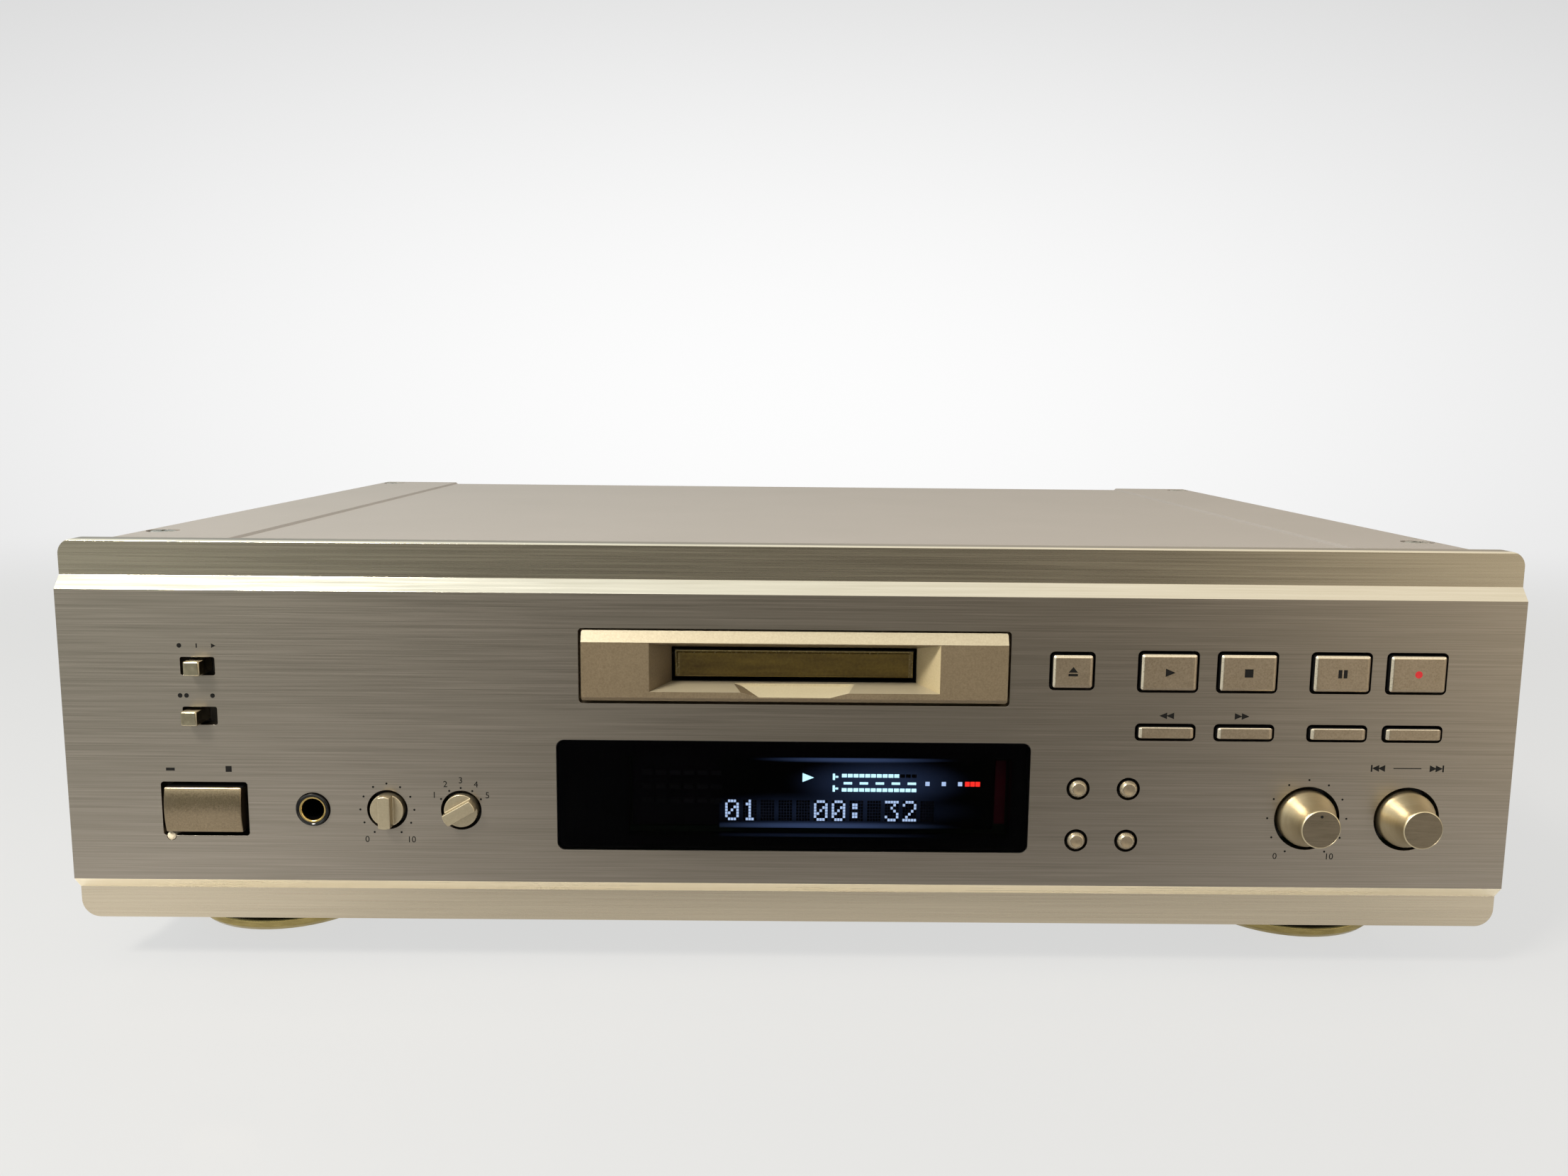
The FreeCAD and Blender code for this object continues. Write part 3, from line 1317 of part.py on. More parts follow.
def head_arm():
    """The recording head on its arm, forked around the bracket and pinned to it."""
    lens_x = middle_x + track_inner
    cheek_in = arm_post_width / 2 + cheek_gap
    cheek_out = cheek_in + cheek_thickness
    blade_z = span(arm_z, arm_height)
    yoke_y = (arm_pivot_y - yoke_front, arm_pivot_y - yoke_rear)
    blade = block(span(lens_x, arm_width), (spindle_y - arm_front, yoke_y[0]), blade_z)
    yoke = block(span(lens_x, 2 * cheek_out), yoke_y, blade_z)
    cheeks = [block(sorted((lens_x + side * cheek_in, lens_x + side * cheek_out)),
                    (yoke_y[1], arm_pivot_y + arm_post_half_depth), span(arm_z, 2 * arm_post_rise))
              for side in (-1, 1)]
    pin = rod_x(spindle_radius, arm_pivot_y, arm_z, lens_x - cheek_out, lens_x + cheek_out)
    head = block(span(lens_x, head_size), span(spindle_y, head_size), (blade_z[0] - head_height, blade_z[0]))
    return join([blade, yoke] + cheeks + [pin, head])


def load_gear():
    """A double wheel: the small one drives the rack, the large one meets the motor's pinion."""
    low = gear_low + small_gear_height
    small = toothed_wheel(small_gear_teeth, rack_module, gear_x, gear_y, gear_low, low,
                          math.pi + math.pi / small_gear_teeth)
    large = toothed_wheel(large_gear_teeth, gear_module, gear_x, gear_y, low, low + gear_height,
                          -math.pi / 4)
    bore = rod_z(gear_post_radius + shaft_clearance, gear_x, gear_y, gear_low - 1, low + gear_height + 1)
    return join([small, large]).cut(bore)


def load_pinion():
    low = gear_low + small_gear_height
    wheel = toothed_wheel(pinion_teeth, gear_module, pinion_x, pinion_y, low, low + gear_height,
                          math.pi * 0.75 + math.pi / pinion_teeth)
    shaft = rod_z(spindle_radius, pinion_x, pinion_y, base_bottom - motor_shaft_depth, low)
    return join([wheel, shaft])


def load_motor():
    can = rod_z(load_motor_radius, pinion_x, pinion_y, base_bottom - can_length, base_bottom)
    return can.cut(rod_z(spindle_radius + shaft_clearance, pinion_x, pinion_y,
                         base_bottom - motor_shaft_depth - shaft_bottom_gap, base_bottom + 1))


def mech_bracket():
    """A folded steel table that lifts the mechanism to the height of the slot."""
    t, a = chassis_thickness, table_half
    end = a + table_foot
    outline = [(-end, floor_top), (-a + t, floor_top), (-a + t, table_top - t), (a - t, table_top - t),
               (a - t, floor_top), (end, floor_top), (end, floor_top + t), (a, floor_top + t),
               (a, table_top), (-a, table_top), (-a, floor_top + t), (-end, floor_top + t)]
    table = prism_y([(middle_x + x, z) for x, z in outline], base_front, base_rear)
    opening = block([middle_x + edge for edge in table_opening],
                    grown((base_front, base_rear), -table_opening_margin), (table_top - 2 * t, table_top + 1))
    return table.cut(opening)


def mech_dampers():
    """Rubber dampers, waisted in the middle."""
    low, high = table_top, table_top + damper_height
    waist, slope = damper_radius - damper_waist, damper_collar + damper_waist / 2
    outline = [(0, low), (damper_radius, low), (damper_radius, low + damper_collar), (waist, low + slope),
               (waist, high - slope), (damper_radius, high - damper_collar), (damper_radius, high), (0, high)]
    return group([turned_z(outline, middle_x + x, y) for x, y in legs])


def populated_board(x, y, parts):
    """A board on a standoff at each corner, with the parts that stand on it."""
    low = floor_top + standoff_height
    sheet = block(x, y, (low, low + board_thickness))
    pillars = [rod_z(standoff_radius, a, b, floor_top, low)
               for a, b in corners(grown(x, -standoff_inset), grown(y, -standoff_inset))]
    return join([sheet] + pillars + parts)


def power_board():
    """The supply's board with its reservoir capacitors and a finned heat sink."""
    x0 = -chassis_half + board_side_gap
    y1 = rear_inner - board_rear_gap
    y0 = y1 - rear_board_depth
    deck = floor_top + standoff_height + board_thickness
    parts = [rod_z(capacitor_radius, x0 + capacitor_place[0] + capacitor_pitch[0] * column,
                   y0 + capacitor_place[1] + capacitor_pitch[1] * row, deck, deck + capacitor_height)
             for column in range(2) for row in range(2)]
    sink = x0 + sink_place
    fins = [(sink + n * fin_pitch, sink + n * fin_pitch + fin_thickness) for n in range(fin_count)]
    fin_y = (y0 + fin_front, y0 + fin_front + fin_depth)
    parts += [block(fin, fin_y, (deck, deck + fin_height)) for fin in fins]
    parts.append(block((sink, fins[-1][1]), (fin_y[1], fin_y[1] + sink_thickness), (deck, deck + fin_height)))
    return populated_board((x0, x0 + power_board_width), (y0, y1), parts)


def main_board():
    """The signal board, with its chips and a row of small capacitors."""
    x1 = chassis_half - board_side_gap
    x0 = x1 - main_board_width
    y1 = rear_inner - board_rear_gap
    y0 = y1 - main_board_depth
    deck = floor_top + standoff_height + board_thickness
    parts = [block(span(x0 + a, size), span(y0 + b, size), (deck, deck + chip_height))
             for a, b, size in chips]
    parts += [rod_z(small_can_radius, x0 + can_place[0], y0 + can_place[1] + can_pitch * n, deck,
                    deck + small_can_height) for n in range(can_count)]
    return populated_board((x0, x1), (y0, y1), parts)


def power_transformer():
    """A laminated core with its winding, held by a foot plate on the chassis floor."""
    x, y = span(transformer_x, core_width), span(transformer_y, core_depth)
    low = floor_top + foot_plate_thickness
    plate = block(grown(x, foot_plate_overhang), grown(y, -foot_plate_inset), (floor_top, low))
    core = block(x, y, (low, low + core_height))
    coil = block(grown(x, -core_width / 6), grown(y, coil_overhang),
                 grown((low, low + core_height), -coil_margin))
    return join([plate, core, coil])


def save(name, shape):
    depth_low = -level_proud
    depth_high = rear_face + sleeve_length
    shape = shape.copy()
    shape.translate(Vector(0, -(depth_low + depth_high) / 2, 0))
    shape.exportStep("parts/%s.step" % name)


def main():
    os.makedirs("parts", exist_ok=True)
    single = (front_panel, disc_bezel, disc_flap, display_window, display_tube, remote_sensor, phones_jack,
              power_lamp, power_button, panel_switches, rotary_controls, front_board, front_bracket,
              top_cover, case_screws, bottom_chassis, rear_panel, foot_bodies, foot_rings, foot_pads,
              ac_inlet, analog_jacks, digital_jacks, power_transformer, power_board, main_board,
              mech_bracket, mech_dampers, mech_base, guide_shafts, spindle_motor, sled_motor, load_motor,
              turntable, pickup_sled, lead_screw, load_gear, load_pinion, load_slider, disc_holder, head_arm)
    pieces = {piece.__name__: piece() for piece in single}
    for name, x, z, width, height, travel in square_keys:
        pieces[name] = square_key(x, z, width, height, travel)
    for name, x, z in round_keys:
        pieces[name] = round_key(x, z)
    for name, x in level_knobs:
        pieces[name] = level_knob(x)
    for name, x, angle in dials:
        pieces[name] = dial(x, angle)
    for name, *places in levers:
        pieces[name] = lever(*places)
    for name, shape in pieces.items():
        save(name, shape)


main()
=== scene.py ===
import json
import math

import bmesh
import bpy
from mathutils import Matrix, Vector


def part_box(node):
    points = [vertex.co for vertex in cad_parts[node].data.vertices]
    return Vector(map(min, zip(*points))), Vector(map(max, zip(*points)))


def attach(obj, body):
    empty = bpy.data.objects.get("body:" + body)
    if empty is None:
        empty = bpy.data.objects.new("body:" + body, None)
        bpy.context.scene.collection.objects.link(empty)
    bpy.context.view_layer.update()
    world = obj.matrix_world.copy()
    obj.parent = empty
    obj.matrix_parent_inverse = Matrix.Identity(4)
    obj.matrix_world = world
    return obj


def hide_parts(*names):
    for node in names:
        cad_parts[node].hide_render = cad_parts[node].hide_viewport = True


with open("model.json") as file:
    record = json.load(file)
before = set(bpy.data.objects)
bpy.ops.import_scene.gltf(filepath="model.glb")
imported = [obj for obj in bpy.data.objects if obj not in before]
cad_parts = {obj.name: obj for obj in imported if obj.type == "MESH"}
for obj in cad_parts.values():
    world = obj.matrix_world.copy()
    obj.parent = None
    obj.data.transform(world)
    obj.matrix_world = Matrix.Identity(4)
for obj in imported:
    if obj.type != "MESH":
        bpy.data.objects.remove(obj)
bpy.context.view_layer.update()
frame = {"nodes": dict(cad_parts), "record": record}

# A minidisc recorder with a brushed champagne front, which faces -Y. Blender works in metres, and the
# dictionaries of the deck's pieces are in millimetres
nodes = frame["nodes"]
slotOf = {part["node"]: part["material_slot"] for part in frame["record"]["subparts"]}
bodyOf = {node: body for body, held in frame["record"]["behaviour"]["bodies"].items() for node in held}
mm = 0.001


def toLinear(hexText):
    parts = [int(hexText[i:i + 2], 16) / 255 for i in (1, 3, 5)]
    return [p / 12.92 if p <= 0.04045 else ((p + 0.055) / 1.055) ** 2.4 for p in parts] + [1.0]


def addNode(tree, kind, settings=(), links=()):
    # a key is a property or an input, and a link is an output, or a node for its first output.
    # MapRange has 0 value, 1 and 2 from, 3 and 4 to; Mix has 0 share, 2 and 3 numbers, 6 and 7 colours
    node = tree.nodes.new("ShaderNode" + kind)
    for key, value in dict(settings).items():
        if isinstance(key, str) and hasattr(node, key):
            setattr(node, key, value)
        else:
            node.inputs[key].default_value = value
    for key, source in dict(links).items():
        tree.links.new(getattr(source, "outputs", [source])[0], node.inputs[key])
    return node


def newMaterial(name, settings):
    material = bpy.data.materials.new(name)
    material.use_nodes = True
    tree = material.node_tree
    tree.nodes.clear()
    shader = addNode(tree, "BsdfPrincipled", settings)
    addNode(tree, "OutputMaterial", links={"Surface": shader.outputs["BSDF"]})
    return material, tree, shader


def grainOn(tree, size, detail=3.0):
    # noise whose features are size millimetres across, or (x, y, z) millimetres
    sizes = size if isinstance(size, tuple) else (size, size, size)
    coords = addNode(tree, "TexCoord")
    mapped = addNode(tree, "Mapping", {"Scale": [1 / (s * mm) for s in sizes]},
                     {"Vector": coords.outputs["Object"]})
    return addNode(tree, "TexNoise", {"Scale": 1.0, "Detail": detail, "Roughness": 0.6},
                   {"Vector": mapped.outputs["Vector"]}).outputs["Fac"]


def makeFinish(name, dark, light, grain, rough, mottle, share=0.35, relief=0, metallic=0, more={}):
    # a colour between dark and light by a fine grain and a broad mottle, which has the given share.
    # The grain also moves the roughness, and stands relief millimetres proud
    material, tree, shader = newMaterial(name, {"Metallic": metallic} | more)
    noiseRange = {1: 0.3, 2: 0.7}
    fine, broad = grainOn(tree, grain), grainOn(tree, mottle, 2.0)
    blend = addNode(tree, "Mix", {0: share}, {2: fine, 3: broad})
    level = addNode(tree, "MapRange", noiseRange, {0: blend})
    colour = addNode(tree, "Mix", {"data_type": "RGBA", 6: toLinear(dark), 7: toLinear(light)}, {0: level})
    roughness = addNode(tree, "MapRange", noiseRange | {3: rough[0], 4: rough[1]}, {0: fine})
    tree.links.new(colour.outputs[2], shader.inputs["Base Color"])
    tree.links.new(roughness.outputs[0], shader.inputs["Roughness"])
    if relief:
        bump = addNode(tree, "Bump", {"Strength": 1.0, "Distance": relief * mm}, {"Height": fine})
        tree.links.new(bump.outputs[0], shader.inputs["Normal"])
    return material


print("materials")
# each has its name, dark and light colour, grain, least and most roughness, mottle and its share,
# relief, how metallic it is, and what else the shader is told
finishTable = {
    # champagne anodised aluminium, brushed from end to end. The real lines are about 0.1 mm wide, and
    # these are coarser so that they show
    "brushedAluminium": ("brushed_anodised_aluminium", "#8f877a", "#a69c90", (45, 0.4, 0.26), (0.28, 0.33),
        (150, 60, 14), 0.15, 0.0015, 1, {"Anisotropic": 0.5, "Anisotropic Rotation": 0.25}),
    # the two rails have a calmer brushing, and a paler colour that is painted light
    "upperRail": ("fine_brushed_upper_rail", "#aea38f", "#c2b7a2", (60, 0.5, 0.4), (0.24, 0.3), (150, 60, 14),
        0.2, 0.002, 1),
    "lowerRail": ("fine_brushed_lower_rail", "#c4b69f", "#d3c6ae", (60, 0.5, 0.4), (0.25, 0.32),
        (150, 60, 14), 0.2, 0, 1),
    # the lower bevel is satin aluminium painted pale and even, as a painted highlight
    "paleBevel": ("satin_cut_aluminium", "#eadcbb", "#f6ead0", (40, 0.8, 0.8), (0.26, 0.34), (80, 20, 20),
        0.35, 0, 0.55),
    # the upper bevel is cut with a diamond tool, and flashes nearly white
    "diamondCut": ("diamond_cut_aluminium", "#dfd9c9", "#eee9dc", (40, 0.8, 0.8), (0.14, 0.22), (80, 20, 20),
        0.35, 0, 1),
    # ABS with a metallic champagne lacquer: a fine sparkle under a satin skin. Its flakes are
    # coarser than the real 0.05 mm so that they show
    "satinLacquer": ("metallic_lacquered_abs", "#74654f", "#877860", 0.5, (0.3, 0.4), 20, 0.2, 0.003, 0.5),
    # the slopes that face up are painted paler, as a painted highlight
    "paleLacquer": ("metallic_lacquered_slopes", "#a0957d", "#b1a68d", 0.5, (0.3, 0.4), 20, 0.2, 0.002, 0.25),
    # painted light on the mouth's right wall, and a painted highlight on the facets of the scoop
    "wallLacquer": ("metallic_lacquered_wall", "#a99a78", "#b9aa88", 0.5, (0.35, 0.45), 20, 0.2, 0.002, 0.1),
    "scoopLacquer": ("metallic_lacquered_scoop", "#b6aa8b", "#c6bb9d", 0.5, (0.35, 0.45), 20, 0.2, 0.002,
        0.1),
    # the keys gleam more like metal
    "keyLacquer": ("lacquered_key_abs", "#8b7c66", "#a49580", 0.45, (0.30, 0.40), 8, 0.2, 0.003, 0.85),
    # the power key's convex cap is glossier, so it runs from light to dark
    "powerLacquer": ("lacquered_convex_cap_abs", "#7d6e57", "#94846b", 0.45, (0.18, 0.24), 12, 0.2, 0.002,
        0.95),
    # the small round keys: painted pale on the rim as a painted highlight, and darker in the dished middle as
    # painted shade
    "keyRim": ("lacquered_key_rim", "#a2957e", "#b8ac95", 0.45, (0.22, 0.3), 8, 0.2, 0.001, 0.9),
    "keyDish": ("lacquered_key_dish", "#877963", "#978972", 0.45, (0.3, 0.4), 8, 0.2, 0.002, 0.7),
    # the rounded edges of the keys that face the light, painted pale as a painted highlight
    "keyEdge": ("lacquered_key_edge", "#d2c7b0", "#e0d6c2", 0.45, (0.26, 0.34), 8, 0.2, 0, 0.85),
    # the two small knobs have a pale, even lacquer
    "dialLacquer": ("lacquered_dial_abs", "#ab9e84", "#b8ab90", 0.6, (0.3, 0.36), 8, 0.2, 0, 0.85),
    # glossy olive-brown ABS, moulded: soft streaks where the plastic flowed, and a paler border
    "flapPlastic": ("moulded_olive_abs", "#54441b", "#77642b", 0.8, (0.16, 0.26), (22, 8, 3), 0.6, 0, 0.3),
    "flapBorder": ("moulded_olive_border", "#6b5c34", "#7f6f42", 0.8, (0.2, 0.3), (22, 8, 8), 0.4, 0, 0.3),
    # turned and anodised aluminium: a soft sheen round the knobs, and a faced front painted darker as painted
    # shade
    "turnedAluminium": ("turned_anodised_aluminium", "#cabb97", "#d6c9ab", (6, 0.3, 6), (0.36, 0.42), 12, 0.3,
        0, 1),
    "facedAluminium": ("faced_anodised_aluminium", "#786d5a", "#897d6a", (7, 0.4, 0.4), (0.26, 0.34), 8, 0.3,
        0.001, 1),
    # tumbled nickel silver and gilt brass: sharp gleams with faint wear
    "polishedMetal": ("polished_nickel_silver", "#a2967c", "#c2b69a", 2, (0.14, 0.24), 6, 0.35, 0, 1),
    "brass": ("gilt_brass", "#a88c4e", "#cdb478", 1.5, (0.18, 0.28), 8, 0.35, 0, 1),
    # black ABS with a fine grain, and polished in the mould
    "blackPlastic": ("moulded_black_abs", "#0b0b0c", "#151516", 0.6, (0.38, 0.52), 20, 0.35, 0.006),
    "glossBlack": ("polished_black_abs", "#050506", "#0a0a0b", 2, (0.08, 0.14), (20, 8, 8), 0.35, 0, 0,
        {"Specular IOR Level": 0.3}),
    # baked enamel on steel sheet: a fine orange peel that softens every gleam
    "coverEnamel": ("textured_grey_enamel", "#948d86", "#a29a94", 0.9, (0.38, 0.48), 45, 0.2, 0.03, 0.35),
    "rearEnamel": ("rear_sheet_enamel", "#28282a", "#343436", 0.7, (0.4, 0.5), 30, 0.35, 0.01),
    # zinc plating is cool and cloudy, and nickel plating bright and even
    "zincSteel": ("zinc_plated_steel", "#8f959a", "#b4b9bc", 9, (0.28, 0.45), 25, 0.5, 0, 1),
    "screwSteel": ("nickel_plated_screw_steel", "#9a9892", "#c2c0b8", 1.5, (0.2, 0.32), 4, 0.35, 0, 1),
    # the soft yellow gleam of the feet's rings
    "gilding": ("gilt_plated_ring", "#8d7c4c", "#b9a66c", (6, 6, 1), (0.2, 0.32), (20, 20, 6), 0.35, 0, 1),
    # moulded rubber, matt and slightly dusty
    "rubber": ("black_rubber", "#101010", "#1b1b1b", 0.5, (0.7, 0.85), 9, 0.35, 0.02),
    # a stack of varnished steel sheets, each 0.5 mm high
    "core": ("varnished_core_laminations", "#3a3630", "#57524a", (60, 60, 0.5), (0.4, 0.55), (20, 20, 3),
        0.35, 0.01, 0.6),
    # glass-epoxy under a green mask, with the weave just showing
    "board": ("glass_epoxy_board", "#1d3a22", "#2f5a34", 1.6, (0.3, 0.45), 7, 0.5, 0.01),
    # waxy off-white gears
    "whitePlastic": ("acetal_resin", "#c9c7bd", "#dcdad0", 1.2, (0.4, 0.5), 8, 0.35, 0.004),
    # milky acrylic that spreads the lamp's light
    "lampLens": ("diffusing_lamp_acrylic", "#c2b49a", "#d8cbb2", 0.6, (0.12, 0.2), 2),
    # flat, matt screen printing
    "printInk": ("screen_print_ink", "#070605", "#0f0d0b", 0.3, (0.5, 0.6), 3, 0.35, 0, 0,
        {"Specular IOR Level": 0.2}),
    "redInk": ("red_print_ink", "#a5121a", "#c01c22", 0.3, (0.45, 0.55), 3),
    # unlit dots are a shade paler than the tube's glass
    "unlitPhosphor": ("unlit_phosphor", "#15181d", "#1b1f25", 0.5, (0.5, 0.6), 3),
    # soda glass of the display tube, blackened inside
    "tubeGlass": ("blackened_tube_glass", "#030405", "#07080a", 3, (0.05, 0.1), (20, 8, 8)),
}
finishes = {key: makeFinish(*row) for key, row in finishTable.items()}
# coloured ABS inside the phono sockets, matt from the mould
for colour, dark, light in (("red", "#8f1c1a", "#a8231f"), ("white", "#cfcdc6", "#e0ded8"),
                            ("orange", "#b25a17", "#c96a20")):
    finishes[colour + "Sleeve"] = makeFinish(colour + "_insulator_abs", dark, light, 0.8, (0.4, 0.5), 4)

# which finish each of the record's slots gets
slotFinish = {
    "champagne_aluminium": "brushedAluminium", "bezel_plastic": "satinLacquer", "flap_plastic": "flapPlastic",
    "key_plastic": "keyLacquer", "knob_aluminium": "turnedAluminium", "lever_metal": "polishedMetal",
    "jack_brass": "brass", "lamp_lens": "lampLens", "black_plastic": "blackPlastic", "circuit_board": "board",
    "zinc_steel": "zincSteel", "cover_paint": "coverEnamel", "rear_paint": "rearEnamel",
    "screw_steel": "screwSteel", "foot_plastic": "blackPlastic", "foot_gilding": "gilding",
    "foot_rubber": "rubber", "core_steel": "core", "motor_steel": "zincSteel", "mech_steel": "zincSteel",
    "shaft_steel": "screwSteel", "gear_plastic": "whitePlastic", "sled_plastic": "blackPlastic",
    "display_glass": "tubeGlass", "smoked_acrylic": "blackPlastic",
}
# acrylic dyed nearly black: a mirror-smooth face that lets the lit segments through
finishes["smokedAcrylic"] = newMaterial("smoked_acrylic", {
    "Base Color": toLinear("#807d86"), "Roughness": 0.02, "IOR": 1.49,
    "Specular Tint": toLinear("#303030"), "Transmission Weight": 1.0})[0]


def litPhosphor(name, hexText, strength, grain=0.25, weakest=0.8):
    # fluorescent segments glow evenly behind the glass, weakest times their strength at least
    material, tree, shader = newMaterial(name, {
        "Base Color": toLinear(hexText), "Roughness": 0.5, "Emission Color": toLinear(hexText),
        "Emission Strength": strength})
    level = addNode(tree, "MapRange", {1: 0.35, 2: 0.65, 3: strength * weakest, 4: strength * 1.1},
                    {0: grainOn(tree, grain)})
    tree.links.new(level.outputs[0], shader.inputs["Emission Strength"])
    return material


finishes["blueSegments"] = litPhosphor("blue_white_phosphor", "#a8c4dc", 5.0)
finishes["cyanSegments"] = litPhosphor("cyan_white_phosphor", "#b9f0f2", 6.5)
finishes["redSegments"] = litPhosphor("red_phosphor", "#ff3226", 5.0)
# a painted glow where the tube's end and grid would catch a little of the phosphor's light
finishes["redTubeEnd"] = litPhosphor("glowing_red_tube_end", "#6a1420", 0.14, 9, 0.1)
smooth = {"interpolation_type": "SMOOTHSTEP"}
# ovals of painted glow on the tube: x, z, half width, half height and strength
paintedGlowOvals = [(27, 58.6, 27, 8.0, 0.8), (12, 49.8, 44, 6, 0.35), (19, 65.9, 30, 1.1, 1.6), (9, 44.9, 40, 1.5, 1.6)]


def gridHaze():
    # a faint blue painted glow on the tube's grid
    material, tree, shader = newMaterial("lit_tube_grid", {
        "Base Color": toLinear("#030405"), "Roughness": 0.2, "Specular IOR Level": 0.1,
        "Emission Color": toLinear("#4f688f")})
    coords = addNode(tree, "TexCoord")
    total = None
    for x, z, width, height, strength in paintedGlowOvals:
        scale = (1 / (width * mm), 0, 1 / (height * mm))
        mapped = addNode(tree, "Mapping", {"Scale": scale, "Location": (-x / width, 0, -z / height)},
                         {"Vector": coords.outputs["Object"]})
        distance = addNode(tree, "VectorMath", {"operation": "LENGTH"}, {0: mapped})
        oval = addNode(tree, "MapRange", smooth | {1: 0.1, 2: 1.1, 3: strength, 4: 0.0},
                       {0: distance.outputs["Value"]}).outputs[0]
        total = oval if total is None else addNode(tree, "Math", links={0: total, 1: oval}).outputs[0]
    tree.links.new(total, shader.inputs["Emission Strength"])
    return material


finishes["phosphorHaze"] = gridHaze()
for nodeName, part in nodes.items():
    part.data.materials.clear()
    part.data.materials.append(finishes[slotFinish[slotOf[nodeName]]])


def toMesh(name, shape):
    mesh = bpy.data.meshes.new(name)
    shape.to_mesh(mesh)
    shape.free()
    return mesh


def addObject(name, data):
    holder = bpy.data.objects.new(name, data)
    bpy.context.scene.collection.objects.link(holder)
    return holder


def addPiece(name, shape, body, materials, replaced=(), smoothAngle=35):
    mesh = toMesh(name, shape)
    for material in materials:
        mesh.materials.append(finishes[material])
    mesh.shade_smooth()
    mesh.set_sharp_from_angle(angle=math.radians(smoothAngle))
    piece = addObject(name, mesh)
    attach(piece, body)
    if replaced:
        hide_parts(*replaced)
    return piece


def finishNode(nodeName, shape, materials, smoothAngle=35):
    # the finished shape of a CAD node, on its body, in place of the node
    return addPiece(nodeName + "_finished", shape, bodyOf[nodeName], materials, [nodeName],
                    smoothAngle)


def cadShape(nodeName):
    # the node's own solid as one clean shape: merged corners, flat faces in one piece
    shape = bmesh.new()
    shape.from_mesh(nodes[nodeName].data)
    bmesh.ops.remove_doubles(shape, verts=shape.verts, dist=0.0005 * mm)
    bmesh.ops.dissolve_limit(shape, angle_limit=math.radians(0.5), verts=shape.verts, edges=shape.edges)
    return shape


def paintFaces(shape, accents):
    for face in shape.faces:
        for index, (_, rule) in enumerate(accents):
            if rule(face.calc_center_median(), face.normal):
                face.material_index = index + 1


def softSkin(nodeName, finish=None, edge=0.15, accents=(), segments=2, shape=None, smoothAngle=35):
    # the node's own solid with its sharp edges broken, as a tumbled or moulded edge is
    shape = shape or cadShape(nodeName)
    sharp = [e for e in shape.edges if e.is_manifold and e.calc_face_angle() > math.radians(32)]
    bmesh.ops.bevel(shape, geom=sharp, offset=edge * mm, offset_type="OFFSET", affect="EDGES",
                    segments=segments, profile=0.5, material=-1, clamp_overlap=True)
    paintFaces(shape, accents)
    names = [finish or slotFinish[slotOf[nodeName]]] + [accent for accent, _ in accents]
    piece = finishNode(nodeName, shape, names, smoothAngle)
    piece.modifiers.new("evenNormals", "WEIGHTED_NORMAL").keep_sharp = True


def cutAcross(shape, axis, place, facing=1, **options):
    # cuts the whole shape across an axis, 0, 1 or 2 for x, y or z, at place
    point, normal = [0, 0, 0], [0, 0, 0]
    point[axis], normal[axis] = place * mm, facing
    everything = shape.verts[:] + shape.edges[:] + shape.faces[:]
    return bmesh.ops.bisect_plane(shape, geom=everything, plane_co=point, plane_no=normal, **options)


def pullOut(shape, faces, way):
    # extrudes faces by way = (x, y, z) millimetres, and gives the new vertices
    grown = bmesh.ops.extrude_face_region(shape, geom=faces)["geom"]
    raised = [v for v in grown if isinstance(v, bmesh.types.BMVert)]
    bmesh.ops.translate(shape, vec=[step * mm for step in way], verts=raised)
    return raised


def addPlate(shape, corners, front, thick=0.03, finishIndex=0):
    # a thin flat solid with the given (x, z) corners, thick millimetres proud of y = front
    face = shape.faces.new([shape.verts.new((x * mm, front * mm, z * mm)) for x, z in corners])
    for vert in pullOut(shape, [face], (0, -thick, 0)):
        for side in vert.link_faces:
            side.material_index = finishIndex
    face.material_index = finishIndex


def addBar(shape, x, z, width, height, front, thick=0.03, finishIndex=0):
    corners = [(x + a * width / 2, z + b * height / 2) for a, b in ((-1, -1), (1, -1), (1, 1), (-1, 1))]
    addPlate(shape, corners, front, thick, finishIndex)


def addDot(shape, x, z, radius, front):
    sides = 24 if radius > 1 else 14
    turns = [2 * math.pi * step / sides for step in range(sides)]
    addPlate(shape, [(x + radius * math.cos(t), z + radius * math.sin(t)) for t in turns], front)


def addArrow(shape, x, z, width, height, front, point=1):
    # a triangle that points to the right, or to the left where point is -1
    addPlate(shape, [(x - point * width / 2, z - height / 2), (x + point * width / 2, z),
                     (x - point * width / 2, z + height / 2)], front)


def addRoof(shape, x, z, width, height, front):
    # a triangle that points up, with its lower side at z
    addPlate(shape, [(x - width / 2, z), (x + width / 2, z), (x, z + height)], front)


def evaluatedMesh(holder):
    return bpy.data.meshes.new_from_object(holder.evaluated_get(bpy.context.evaluated_depsgraph_get()))


def addNumber(shape, number, height, x, z, front):
    curve = bpy.data.curves.new("numeral", "FONT")
    curve.body, curve.size, curve.extrude = str(number), 1.0, 0.01
    curve.align_x, curve.align_y = "CENTER", "CENTER"
    holder = addObject("numeral", curve)
    mesh = evaluatedMesh(holder)
    size = height / 0.7 * mm          # a numeral is about 0.7 of its type size high
    proud = 0.015                     # its middle stands this far in front of the panel
    mesh.transform(Matrix.Translation((x * mm, (front - proud) * mm, z * mm))
                   @ Matrix.Rotation(math.pi / 2, 4, "X") @ Matrix.Scale(size, 4))
    shape.from_mesh(mesh)
    bpy.data.objects.remove(holder)
    bpy.data.meshes.remove(mesh)


